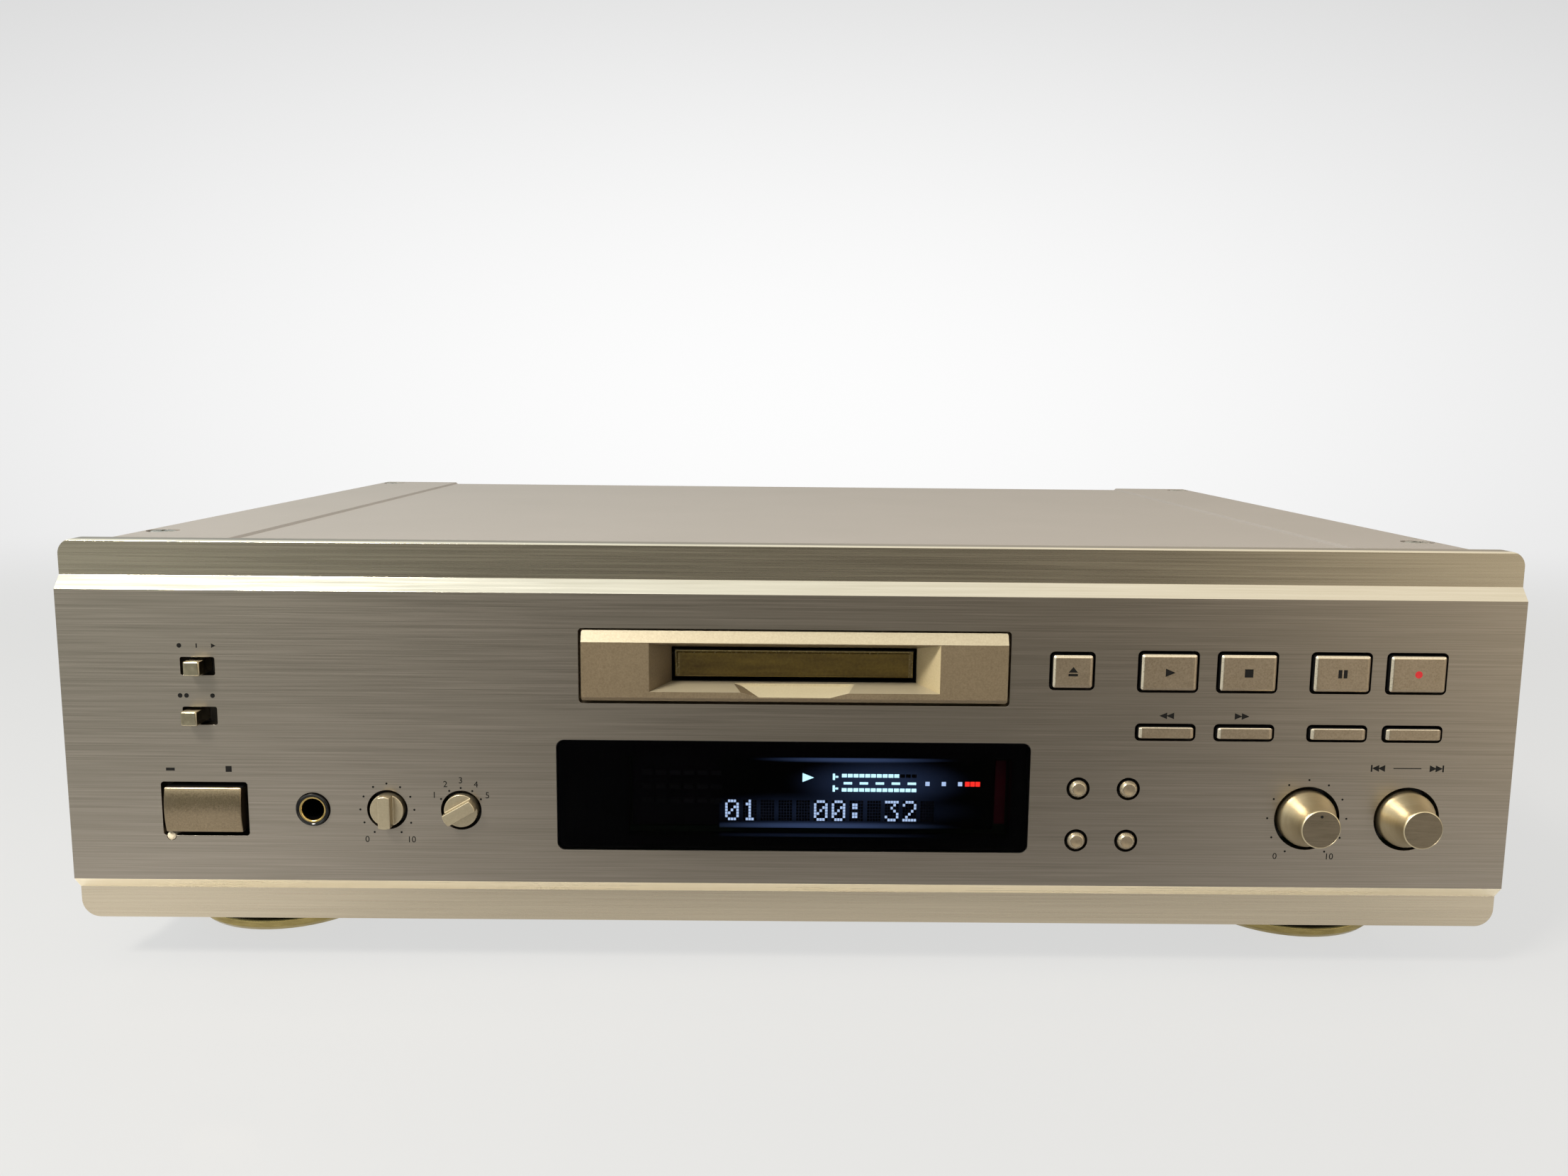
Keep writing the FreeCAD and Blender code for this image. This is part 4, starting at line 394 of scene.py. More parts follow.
def turnedShape(profile, x, z, steps=72):
    # a profile of (radius, y) points turned about an axis that runs from front to back
    shape = bmesh.new()
    points = [shape.verts.new(((x + r) * mm, y * mm, z * mm)) for r, y in profile]
    chain = [shape.edges.new(pair) for pair in zip(points, points[1:])]
    bmesh.ops.spin(shape, geom=points + chain, cent=(x * mm, 0, z * mm), axis=(0, 1, 0), angle=2 * math.pi,
                   steps=steps, use_merge=True, use_duplicate=False)
    bmesh.ops.remove_doubles(shape, verts=shape.verts, dist=0.002 * mm)
    bmesh.ops.recalc_face_normals(shape, faces=shape.faces)
    return shape


def pourInto(shape, other):
    # puts another shape into this one
    mesh = toMesh("poured", other)
    shape.from_mesh(mesh)
    bpy.data.meshes.remove(mesh)


def fromAxis(centre, x, z):
    return math.hypot(centre.x / mm - x, centre.z / mm - z)


print("panel and case")
plate = {"front": -154.15, "top": 117.6, "bottom": 28.9, "upperBevel": 3.8, "lowerBevel": 3.7,
         "crest": 131.4, "holeDepth": 1.4}
leaning = 0.3        # the least that the normal of a slope leans


def onUpperBevel(centre, normal):
    z = centre.z / mm
    slope = plate["top"] < z < plate["top"] + plate["upperBevel"] or z > plate["crest"]
    return slope and normal.z > leaning and normal.y < -leaning


def onLowerBevel(centre, normal):
    slope = plate["bottom"] - plate["lowerBevel"] < centre.z / mm < plate["bottom"]
    return slope and normal.z < -leaning and normal.y < -leaning


def onUpperRail(centre, normal):
    return centre.z / mm > plate["top"] + plate["upperBevel"] and normal.y < -leaning


def onLowerRail(centre, normal):
    return centre.z / mm < plate["bottom"] - plate["lowerBevel"] and normal.y < -leaning


def inHole(centre, normal):
    # what lies behind the plate is painted black, as painted shade in the gap round it
    return centre.y / mm > plate["front"] + plate["holeDepth"]


# the rails and the lower bevel take paler copies of the plate's aluminium as painted light
softSkin("front_panel", accents=[("upperRail", onUpperRail), ("lowerRail", onLowerRail),
                                 ("diamondCut", onUpperBevel), ("paleBevel", onLowerBevel)])
for nodeName in ("top_cover", "rear_panel", "foot_bodies", "foot_rings"):
    softSkin(nodeName)

print("case screws")
# each cross is turned its own way
screws = {
    "recess": 4.2, "slot": 0.85, "depth": 0.75, "above": 0.2, "firstTurn": 17, "nextTurn": 41,
    "top": [(x, y, 130.3) for x in (-206, 206) for y in (-108.15, 146.85)],
    "left": [(-215.5, y, 37.2) for y in (-94.15, 126.85)],
    "right": [(215.5, y, 37.2) for y in (-94.15, 126.85)],
    "rear": [(-206.9, 156.65, 25.7), (-206.9, 156.65, 119.7), (206.9, 156.65, 25.7), (206.9, 156.65, 119.7),
             (-20, 156.65, 25.7)],
}


def crossShape():
    # a solid cross on the origin that points up
    long, short = screws["recess"] / 2, screws["slot"] / 2
    corners = []
    for turn in range(4):
        for a, b in ((long, -short), (long, short), (short, short)):
            for _ in range(turn):
                a, b = -b, a
            corners.append((a, b))
    shape = bmesh.new()
    face = shape.faces.new([shape.verts.new((a * mm, b * mm, -screws["depth"] * mm)) for a, b in corners])
    pullOut(shape, [face], (0, 0, screws["depth"] + screws["above"]))
    bmesh.ops.recalc_face_normals(shape, faces=shape.faces)
    return shape


def recessedScrews():
    cutters = bmesh.new()
    turns = {"top": Matrix(), "left": Matrix.Rotation(-math.pi / 2, 4, "Y"),
             "right": Matrix.Rotation(math.pi / 2, 4, "Y"), "rear": Matrix.Rotation(-math.pi / 2, 4, "X")}
    for side, turn in turns.items():
        for number, place in enumerate(screws[side]):
            cross = crossShape()
            spun = Matrix.Rotation(math.radians(screws["firstTurn"] + screws["nextTurn"] * number), 4, "Z")
            placed = Matrix.Translation(Vector(place) * mm)
            bmesh.ops.transform(cross, matrix=placed @ turn @ spun, verts=cross.verts)
            pourInto(cutters, cross)
    heads = addObject("screwHeads", toMesh("screwHeads", cadShape("case_screws")))
    cutter = addObject("screwCutters", toMesh("screwCutters", cutters))
    cut = heads.modifiers.new("recess", "BOOLEAN")
    cut.object, cut.operation, cut.solver = cutter, "DIFFERENCE", "EXACT"
    result = evaluatedMesh(heads)
    shape = bmesh.new()
    shape.from_mesh(result)
    bpy.data.objects.remove(heads)
    bpy.data.objects.remove(cutter)
    bpy.data.meshes.remove(result)
    return shape


finishNode("case_screws", recessedScrews(), [slotFinish[slotOf["case_screws"]]])

# which points are a cap's sides: sideShare is a share of its half width, and past is beyond its edge
cap = {"proud": 0.3, "roundProud": 0.2, "behind": 5.1, "sideShare": 0.8, "past": 0.02, "softDepth": 0.5}


def slimCap(nodeName, gap, soften=0.0):
    # a cap drawn in by gap all round, so that a dark line shows, and its face by soften more, for a
    # broader rounded edge
    shape = cadShape(nodeName)
    proud = [v.co / mm for v in shape.verts if v.co.y / mm < plate["front"] - cap["proud"]]
    face = min(c.y for c in proud)
    for axis in (0, 2):
        low, high = min(c[axis] for c in proud), max(c[axis] for c in proud)
        middle, half = (low + high) / 2, (high - low) / 2
        for vert in shape.verts:
            away = abs(vert.co[axis] / mm - middle)
            onSide = half * cap["sideShare"] < away < half + cap["past"]
            if vert.co.y / mm < plate["front"] + cap["behind"] and onSide:
                step = gap + soften * max(0.0, 1 - (vert.co.y / mm - face) / cap["softDepth"])
                vert.co[axis] -= math.copysign(step * mm, vert.co[axis] / mm - middle)
    return shape


def slimRound(nodeName, gap):
    # the same for a round cap
    shape = cadShape(nodeName)
    proud = [v.co / mm for v in shape.verts if v.co.y / mm < plate["front"] - cap["roundProud"]]
    x, z = [(min(c[axis] for c in proud) + max(c[axis] for c in proud)) / 2 for axis in (0, 2)]
    radius = max(fromAxis(c * mm, x, z) for c in proud)
    for vert in shape.verts:
        onCap = vert.co.y / mm < plate["front"] + cap["behind"]
        if onCap and fromAxis(vert.co, x, z) < radius + cap["past"]:
            vert.co.x = (x + (vert.co.x / mm - x) * (1 - gap / radius)) * mm
            vert.co.z = (z + (vert.co.z / mm - z) * (1 - gap / radius)) * mm
    return shape


print("loading slot")
bezel = {"throat": -145.2, "gap": 0.3, "floor": 88.5, "middle": 0.5, "scoopHalf": 16.5, "scoopEnd": 0.6,
         "scoopDeep": 2, "wallNear": 37, "wallFar": 50}
# left and right are the edges of the flap's leaf, inside its pins
flap = {"front": -144.15, "border": 2.2, "topBorder": 1.6, "sideRim": 0.8, "rim": 0.8, "fall": 1.2,
        "left": -36.5, "right": 37.5, "bottom": 90.1, "top": 99.8}
flapShape = cadShape("disc_flap")
for axis, place in (
        (0, flap["left"] + flap["border"]), (0, flap["right"] - flap["border"]),
        (2, flap["top"] - flap["topBorder"]), (0, flap["left"] + flap["sideRim"]),
        (0, flap["right"] - flap["sideRim"]), (2, flap["top"] - flap["rim"]),
        (2, flap["bottom"] + flap["rim"])):
    cutAcross(flapShape, axis, place)


def fromRim(place):
    # how far a point is inside the flap's rim, which is painted black as shade, as a share of the rim's width
    x, z = place.x / mm, place.z / mm
    return min(min(x - flap["left"], flap["right"] - x) / flap["sideRim"],
               min(z - flap["bottom"], flap["top"] - z) / flap["rim"])


# the rim's outer edge falls back, and the rim is painted black as painted shade, so it reads as a dark gap
# round the flap
for vert in flapShape.verts:
    if vert.co.y / mm < flap["front"] + 0.05 and fromRim(vert.co) < 0.05:
        vert.co.y += flap["fall"] * mm


def onRim(centre, normal):
    return fromRim(centre) < 1 and centre.y / mm < flap["front"] + flap["fall"] + 0.1


def onBorder(centre, normal):
    x, z = centre.x / mm, centre.z / mm
    inside = flap["left"] + flap["border"] <= x <= flap["right"] - flap["border"]
    return not inside or z > flap["top"] - flap["topBorder"]


softSkin("disc_flap", edge=0.1, accents=[("flapBorder", onBorder), ("glossBlack", onRim)], shape=flapShape)


def onPaleSlope(centre, normal):
    # the slope along the top and the mouth's floor, painted paler as a painted highlight
    return centre.y / mm < bezel["throat"] and normal.z > leaning and normal.y < 0.05 and normal.x < 0.2


# the mouth's right wall, which is painted paler as painted light
def onRightWall(centre, normal):
    onWall = bezel["wallNear"] < centre.x / mm < bezel["wallFar"]
    return centre.y / mm < bezel["throat"] and normal.x < -0.5 and onWall


def onScoop(centre, normal):
    # the facets of the finger scoop that take a painted highlight
    x, y, z = centre / mm
    floor, throat = bezel["floor"], bezel["throat"]
    lit = z < floor and normal.z > 0.1 and normal.x < 0.1
    lowEnd = floor < z < floor + bezel["scoopEnd"] and y > throat - bezel["scoopDeep"]
    within = abs(x - bezel["middle"]) < bezel["scoopHalf"] and y < throat
    return within and (lit or lowEnd and normal.y < -0.9)


# the tunnel behind the throat is painted black, as painted shade
def inTunnel(centre, normal):
    return centre.y / mm > bezel["throat"]


softSkin("disc_bezel", smoothAngle=10, shape=slimCap("disc_bezel", bezel["gap"]),
         accents=[("paleLacquer", onPaleSlope), ("scoopLacquer", onScoop), ("wallLacquer", onRightWall),
                  ("blackPlastic", inTunnel)])

print("keys")
keys = {"front": -155.45, "gap": 0.22, "roundGap": 0.3, "roundEdge": 0.15, "soften": 0.35, "slimSoften": 0.55,
        "edgeProud": 0.7, "dish": 1.75, "dishX": (86.25, 101.4), "dishZ": (59.45, 43.25)}
roundKeys, slimKeys = ("character", "clear", "monitor", "reset"), ("rewind", "forward", "edit", "enter")
# parts behind the plate take black as painted shade
gapShade = ("blackPlastic", inHole)


def onLitEdge(centre, normal):
    # the rounded edge of a key, where it faces the light and is painted pale as a highlight
    turned = normal.z > leaning or normal.x < -leaning
    return centre.y / mm < plate["front"] - keys["edgeProud"] and turned


def inDish(centre, normal):
    # the dished middle of the small round keys, painted darker as shade
    return any(fromAxis(centre, x, z) < keys["dish"] for x in keys["dishX"] for z in keys["dishZ"])


for nodeName in nodes:
    name = nodeName.replace("_button", "")
    if name == nodeName or name == "power":
        continue
    if name in roundKeys:
        softSkin(nodeName, "keyRim", keys["roundEdge"], [("keyDish", inDish), gapShade],
                 shape=slimRound(nodeName, keys["roundGap"]))
    else:
        soften = keys["slimSoften"] if name in slimKeys else keys["soften"]
        softSkin(nodeName, accents=[("keyEdge", onLitEdge), gapShade],
                 shape=slimCap(nodeName, keys["gap"], soften))
softSkin("power_button", "powerLacquer", 0.35, [gapShade], segments=4)
for nodeName in ("timer_lever", "record_mode_lever"):
    softSkin(nodeName, edge=0.3, accents=[gapShade], segments=3)

print("knobs")
levelKnob = {"base": 8.6, "tip": 5.85, "proud": 10.5, "edge": 0.32, "chamfer": 0.12, "dish": 0.1,
             "skirt": 1.0, "seat": 2.5, "shaft": 3.0, "end": -143.15, "z": 50.7, "steps": 14}


def makeLevelKnob(nodeName, x):
    # a flared knob on a straight skirt, with a sunk face
    front, base, tip = plate["front"], levelKnob["base"], levelKnob["tip"]
    edge, chamfer, seat = levelKnob["edge"], levelKnob["chamfer"], front + levelKnob["seat"]
    length = levelKnob["proud"] - edge - levelKnob["skirt"]
    flare = [(base - (base - tip) * math.sin(math.pi / 2 * part), front - levelKnob["skirt"] - length * part)
             for part in [step / levelKnob["steps"] for step in range(levelKnob["steps"] + 1)]]
    face = front - levelKnob["proud"]
    sunk = face + levelKnob["dish"]
    profile = [(0, levelKnob["end"]), (levelKnob["shaft"], levelKnob["end"]), (levelKnob["shaft"], seat),
               (base, seat)] + flare
    profile += [(tip - chamfer, face + chamfer), (tip - edge, face), (tip - edge - chamfer, sunk), (0, sunk)]
    shape = turnedShape(profile, x, levelKnob["z"])

    def onFace(centre, normal):
        away = fromAxis(centre, x, levelKnob["z"])
        return centre.y / mm < face + 2 * levelKnob["dish"] and away < tip - edge - chamfer / 2

    # the face is painted darker as shade, and what lies behind the plate black as shade
    paintFaces(shape, [("facedAluminium", onFace), gapShade])
    finishNode(nodeName, shape, ["turnedAluminium", "facedAluminium", "blackPlastic"])


makeLevelKnob("input_level_knob", 155.9)
makeLevelKnob("jog_knob", 186.1)
for nodeName in ("phones_level_knob", "input_select_knob"):
    softSkin(nodeName, "dialLacquer", 0.3, [gapShade], segments=3)

print("headphone socket")
# the ring's profile is its radius and how far it stands in front of the plate
jack = {"x": -143.9, "z": 51.2, "behind": 0.5, "contact": 3.8, "contactDepth": 0.4,
        "ring": [(5.0, -0.5), (5.0, 0.55), (4.85, 0.8), (4.6, 0.9), (4.3, 0.8), (4.15, 0.4), (3.95, 0.52),
                 (3.6, 0.5), (3.35, 0.3), (3.25, 0.0), (3.25, -0.5), (5.0, -0.5)]}
jackShape = cadShape("phones_jack")
cutAcross(jackShape, 1, plate["front"] + jack["behind"], -1, clear_outer=True)
pourInto(jackShape, turnedShape([(radius, plate["front"] - proud) for radius, proud in jack["ring"]],
                                jack["x"], jack["z"]))


def onContactRing(centre, normal):
    near = fromAxis(centre, jack["x"], jack["z"]) < jack["contact"]
    return near and centre.y / mm < plate["front"] + jack["contactDepth"]


paintFaces(jackShape, [("brass", onContactRing)])
finishNode("phones_jack", jackShape, ["glossBlack", "brass"])

print("rear sockets")
sockets = {
    "radius": 4.15, "rim": 3.45, "bore": 1.7, "root": 156.2, "sunk": 0.4, "end": 164.65, "recess": 0.8,
    "bevel": 0.35, "rimBevel": 0.1, "boreBevel": 0.2, "cleared": 5, "steps": 40,
    "analog_jacks": [(x, z, colour) for x in (142.5, 157.5)
                     for z, colour in ((55.7, "redSleeve"), (73.7, "whiteSleeve"))],
    "digital_jacks": [(92, z, "orangeSleeve") for z in (55.7, 73.7)],
}


def makeSockets(nodeName):
    # the CAD sleeves give way to turned ones with a gilt shell and a coloured insulator
    shape = cadShape(nodeName)
    for x, z, _ in sockets[nodeName]:
        near = [f for f in shape.faces if fromAxis(f.calc_center_median(), x, z) < sockets["cleared"]
                and f.calc_center_median().y / mm > sockets["root"]]
        bmesh.ops.delete(shape, geom=near, context="FACES")
    colours = ["blackPlastic", "brass", "whiteSleeve", "redSleeve", "orangeSleeve"]
    radius, rim, bore, bevel = (sockets[key] for key in ("radius", "rim", "bore", "bevel"))
    root, end, deep = sockets["root"] - sockets["sunk"], sockets["end"], sockets["end"] - sockets["recess"]
    profile = [(radius, root), (radius, end - bevel), (radius - bevel, end), (rim + sockets["rimBevel"], end),
               (rim, end - sockets["rimBevel"]), (rim, deep), (bore + sockets["boreBevel"], deep),
               (bore, deep - sockets["boreBevel"]), (bore, root), (radius, root)]
    for x, z, colour in sockets[nodeName]:
        sleeve = turnedShape(profile, x, z, sockets["steps"])
        for face in sleeve.faces:
            inner = fromAxis(face.calc_center_median(), x, z) < rim - sockets["rimBevel"] / 2
            face.material_index = colours.index(colour) if inner else 1
        pourInto(shape, sleeve)
    finishNode(nodeName, shape, colours)


makeSockets("analog_jacks")
makeSockets("digital_jacks")
inlet = {"pinsX": (-174.2, -165.8), "pinZ": 46.7, "pinReach": 1.4, "pinStart": 140, "pinEnd": 156}


def onPins(centre, normal):
    near = min(fromAxis(centre, x, inlet["pinZ"]) for x in inlet["pinsX"]) < inlet["pinReach"]
    return near and inlet["pinStart"] < centre.y / mm < inlet["pinEnd"]


softSkin("ac_inlet", edge=0.2, accents=[("polishedMetal", onPins)])

print("display")
display = {
    "pane": 2.0, "left": -70.2, "right": 71.2, "bottom": 39.5, "top": 72.9, "border": 2, "depth": 4.4,
    "openLeft": -49.25, "openRight": 66.2, "openBottom": 43.3, "openTop": 68.0, "gap": 0.05,
    # the tube's face, and the numerals' dots on it
    "face": -146.57, "thick": 0.04, "text": "01   00: 32 ", "textLeft": -20.3, "textTop": 53.1,
    "textPitch": 5.45, "dotX": 0.86, "dotZ": 0.95, "dotWidth": 0.72, "dotHeight": 0.8,
    "triangle": [(3.4, 61.6), (3.4, 58.8), (6.9, 60.2)],
    # rows of bars: how many, the first one's x, their pitch, z, width, height and finish
    "bars": [
        (10, 16.2, 1.78, 60.9, 1.5, 1.1, "cyanSegments"), (3, 34.0, 1.78, 60.9, 1.5, 1.1, "unlitPhosphor"),
        (13, 16.2, 1.78, 56.4, 1.5, 1.1, "cyanSegments"), (5, 17.3, 4.9, 58.5, 2.6, 0.75, "cyanSegments"),
        (1, 13.0, 0, 60.5, 0.7, 2.0, "cyanSegments"), (1, 13.9, 0, 60.5, 0.9, 0.6, "cyanSegments"),
        (1, 13.0, 0, 56.8, 0.7, 2.0, "cyanSegments"), (1, 13.9, 0, 56.8, 0.9, 0.6, "cyanSegments"),
        (3, 41.7, 5.0, 58.5, 1.3, 1.3, "blueSegments"), (3, 53.9, 1.6, 58.5, 1.4, 1.5, "redSegments"),
        (1, 64.0, 0, 56.0, 3.2, 20.0, "redTubeEnd")],
    "unlitBars": [(6, -44.0, 4.2, z, 3.2, 1.4, "unlitPhosphor") for z in (61.5, 57.1, 52.7)],
    # the grid's painted glow lies just in front of the glass
    "glow": (20.0, 56.0, 84.0, 23.6), "glowBack": 0.015, "glowThick": 0.005,
}
paneBack = plate["front"] + display["pane"]
paneShape = cadShape("display_window")
cut = cutAcross(paneShape, 1, paneBack, clear_outer=True)
bmesh.ops.edgeloop_fill(paneShape, edges=[e for e in cut["geom_cut"] if isinstance(e, bmesh.types.BMEdge)])
softSkin("display_window", "smokedAcrylic", 0.25, shape=paneShape)


def makeSurround():
    # a black frame behind the pane, through which the tube shows
    shape = bmesh.new()
    left, right, bottom, top = (display[key] for key in ("left", "right", "bottom", "top"))
    y = (paneBack + display["gap"]) * mm
    face = shape.faces.new([shape.verts.new((x * mm, y, z * mm)) for x, z in (
        (left, bottom), (right, bottom), (right, top), (left, top))])
    bmesh.ops.inset_region(shape, faces=[face], thickness=display["border"] * mm, use_boundary=True,
                           use_even_offset=True)
    for vert in face.verts:
        vert.co.x = display["openLeft" if vert.co.x < (left + right) / 2 * mm else "openRight"] * mm
        vert.co.z = display["openBottom" if vert.co.z < (bottom + top) / 2 * mm else "openTop"] * mm
    bmesh.ops.delete(shape, geom=[face], context="FACES")
    pullOut(shape, shape.faces[:], (0, display["depth"], 0))
    bmesh.ops.recalc_face_normals(shape, faces=shape.faces)
    addPiece("display_surround", shape, "deck", ["glossBlack"])


# five columns by seven rows for each numeral, top row first
dotRows = {"0": "01110 10001 10011 10101 11001 10001 01110", "1": "00100 01100 00100 00100 00100 00100 01110",
           "2": "01110 10001 00001 00010 00100 01000 11111", "3": "11111 00010 00100 00010 00001 10001 01110",
           ":": "00000 01100 01100 00000 01100 01100 00000", " ": "00000 00000 00000 00000 00000 00000 00000"}


def makeSegments():
    shape = bmesh.new()
    names = ["blueSegments", "redSegments", "unlitPhosphor", "redTubeEnd", "phosphorHaze", "cyanSegments"]
    y, thick = display["face"], display["thick"]

    def addBars(rows):
        for count, x, pitch, z, width, height, finish in rows:
            for step in range(count):
                addBar(shape, x + pitch * step, z, width, height, y, thick, names.index(finish))

    for cell, sign in enumerate(display["text"]):
        for row, line in enumerate(dotRows[sign].split()):
            for column, dot in enumerate(line):
                x = display["textLeft"] + cell * display["textPitch"] + (column + 0.5) * display["dotX"]
                z = display["textTop"] - (row + 0.5) * display["dotZ"]
                finish = "blueSegments" if dot == "1" else "unlitPhosphor"
                addBar(shape, x, z, display["dotWidth"], display["dotHeight"], y, thick, names.index(finish))
    addPlate(shape, display["triangle"], y, thick, names.index("cyanSegments"))
    addBars(display["bars"])
    addBar(shape, *display["glow"], y + display["glowBack"], display["glowThick"],
           names.index("phosphorHaze"))
    addBars(display["unlitBars"])
    bmesh.ops.recalc_face_normals(shape, faces=shape.faces)
    addPiece("display_segments", shape, "deck", names)


makeSurround()
makeSegments()

print("printing")
ink = {
    "numeral": 1.9, "dot": 0.32, "arrow": 2.1, "searchArrow": 1.995, "dialStep": 30,
    # scales round three knobs: place, radius, first angle, dots, radius of numerals, and end numbers
    "scales": [(-121.6, 51.25, 8.1, -150, 11, 0, [(0, -127.9, 41.9), (10, -114.6, 41.9)]),
               (-99.4, 51.25, 6.9, -60, 5, 9.2, []),
               (155.9, 50.7, 12.0, -150, 11, 0, [(0, 146.9, 38.7), (10, 163.4, 38.7)])],
    # skip marks over the jog knob, joined by a line
    "skipX": 185.2, "skipZ": 66.5, "skipAway": 8.7, "skipShift": 0.9, "skipWidth": 2.1, "skipStop": 0.45,
    "skipLine": (8.4, 0.28),
    # search marks over two slim keys, as x and the way they point
    "search": ((111.8, -1), (134.4, 1)), "searchZ": 82.15, "searchShift": 1.05, "searchWidth": 2.3,
    # the power key's in and out, and the lever positions: shape, x, z and size
    "signs": [(addBar, -186.0, 63.3, 2.6, 0.9), (addBar, -168.6, 63.5, 1.8, 1.8),
              (addDot, -181.3, 101.0, 0.7), (addBar, -176.2, 101.0, 0.35, 1.3),
              (addArrow, -171.2, 101.0, 1.3, 1.4), (addDot, -181.8, 85.9, 0.7),
              (addDot, -179.9, 85.9, 0.7), (addDot, -172.2, 85.9, 0.7)],
}


def printPanel():
    shape = bmesh.new()
    front = plate["front"]
    for x, z, radius, start, dots, numerals, ends in ink["scales"]:
        for step in range(dots):
            turn = math.radians(start + ink["dialStep"] * step)
            across, up = math.sin(turn), math.cos(turn)
            addDot(shape, x + radius * across, z + radius * up, ink["dot"], front)
            if numerals:
                addNumber(shape, step + 1, ink["numeral"], x + numerals * across, z + numerals * up, front)
        for number, numberX, numberZ in ends:
            addNumber(shape, number, ink["numeral"], numberX, numberZ, front)
    z, width = ink["skipZ"], ink["skipWidth"]
    for side in (-1, 1):
        middle = ink["skipX"] + side * ink["skipAway"]
        for shift in (-ink["skipShift"], ink["skipShift"]):
            addArrow(shape, middle + shift, z, width, ink["arrow"], front, side)
        addBar(shape, middle + side * width, z, ink["skipStop"], ink["arrow"], front)
    addBar(shape, ink["skipX"], z, *ink["skipLine"], front)
    for x, side in ink["search"]:
        for shift in (-ink["searchShift"], ink["searchShift"]):
            addArrow(shape, x + shift, ink["searchZ"], ink["searchWidth"], ink["searchArrow"], front, side)
    for draw, *values in ink["signs"]:
        draw(shape, *values, front)
    bmesh.ops.recalc_face_normals(shape, faces=shape.faces)
    addPiece("panel_printing", shape, "deck", ["printInk"])


# the signs on each key: shape, place from the key's middle and size
keySigns = {
    "eject_button": [(addRoof, 0, -0.2, 2.8, 1.7), (addBar, 0, -0.95, 2.8, 0.7)],
    "play_button": [(addArrow, 0.3, 0, 2.9, 2.5)],
    "stop_button": [(addBar, 0, 0, 2.5, 2.5)],
    "pause_button": [(addBar, -0.8, 0, 1.1, 2.5), (addBar, 0.8, 0, 1.1, 2.5)],
    "record_button": [(addDot, 0, 0, 1.1)],
    "input_level_knob": [(addDot, 0, 3.9, 0.45)],
}


def printKey(nodeName, front, material):
    shape = bmesh.new()
    low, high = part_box(nodeName)
    for draw, x, z, *size in keySigns[nodeName]:
        draw(shape, (low.x + high.x) / 2 / mm + x, (low.z + high.z) / 2 / mm + z, *size, front)
    bmesh.ops.recalc_face_normals(shape, faces=shape.faces)
    addPiece(nodeName.replace("_button", "_mark"), shape, bodyOf[nodeName], [material])


printPanel()
for nodeName in keySigns:
    knobFace = plate["front"] - levelKnob["proud"] + levelKnob["dish"]
    printKey(nodeName, knobFace if nodeName == "input_level_knob" else keys["front"],
             "redInk" if nodeName == "record_button" else "printInk")

print("studio")
scene = bpy.context.scene
camera = addObject("camera", bpy.data.cameras.new("camera"))
camera.location = (-0.005436, -0.525830, 0.173178)
camera.rotation_euler = (1.42791723, -0.00980761, -0.00540458)
camera.data.lens = 29.33
camera.data.sensor_width = 36.0
camera.data.clip_start = 0.01
scene.camera = camera
scene.view_settings.view_transform = "Standard"

# in metres. A range is {1: from, 2: to, 3: level at from, 4: level at to}, and plain levels are 0 and 1
studio = {
    # the floor fades into the sweep behind it, and sooner where metal mirrors it
    "floorReach": 3.0, "floorCells": 8, "floorHex": "#e4e4e3", "floorGloss": 0.16, "floorOwnLight": 0.88,
    "floorLevel": 0.96, "fadeStart": 0.55, "fadeEnd": 1.5, "mirrorFadeStart": 0.25, "mirrorFadeEnd": 0.7,
    # painted light on the floor that only metal sees: bright close to the deck and at both sides, and painted
    # shade in the middle
    "mirrorCentre": 0.16, "middleX": 0.03, "mirrorSides": {1: 0.02, 2: 0.26},
    "mirrorNear": {1: -0.26, 2: -0.19, 4: 0.7}, "mirrorFar": {1: -0.4, 2: -0.25, 3: 0.4},
    "mirrorPeak": {1: -0.3, 2: -0.1, 3: 1.25, 4: 1.05},
    # the pale sweep seen directly, which falls off to the sides and upwards
    "sweepMiddle": 0.98, "sweepSides": -0.48, "sweepTop": -2.4, "sweepLeast": 0.66, "ambient": 0.32,
    # metal sees a dim space in front, brighter walls at both sides and a bright ceiling
    "darkestX": 0.05, "dimFront": {1: 0.05, 2: 0.3, 3: 0.17}, "sides": {1: -0.3, 2: 0.4, 3: 0.52, 4: 1.15},
    "behind": {1: -0.6, 2: 0.2}, "back": 0.35, "ceiling": {1: -0.5, 2: 0.0, 3: 1.0, 4: 0.95},
    "ceilingStart": {1: 0.05, 2: 0.4},
    # bright windows high in front light the upper edges of keys and knobs
    "windowsLow": {1: 0.1, 2: 0.22}, "windowsHigh": {1: 0.4, 2: 0.6, 3: 1.0, 4: 0.0},
    "windowsAhead": {1: -0.5, 2: 0.0, 3: 1.2, 4: 0.0},
    "leftHex": "#fafff9", "rightHex": "#fff6e4", "tint": {1: -0.5, 2: 0.5},
}


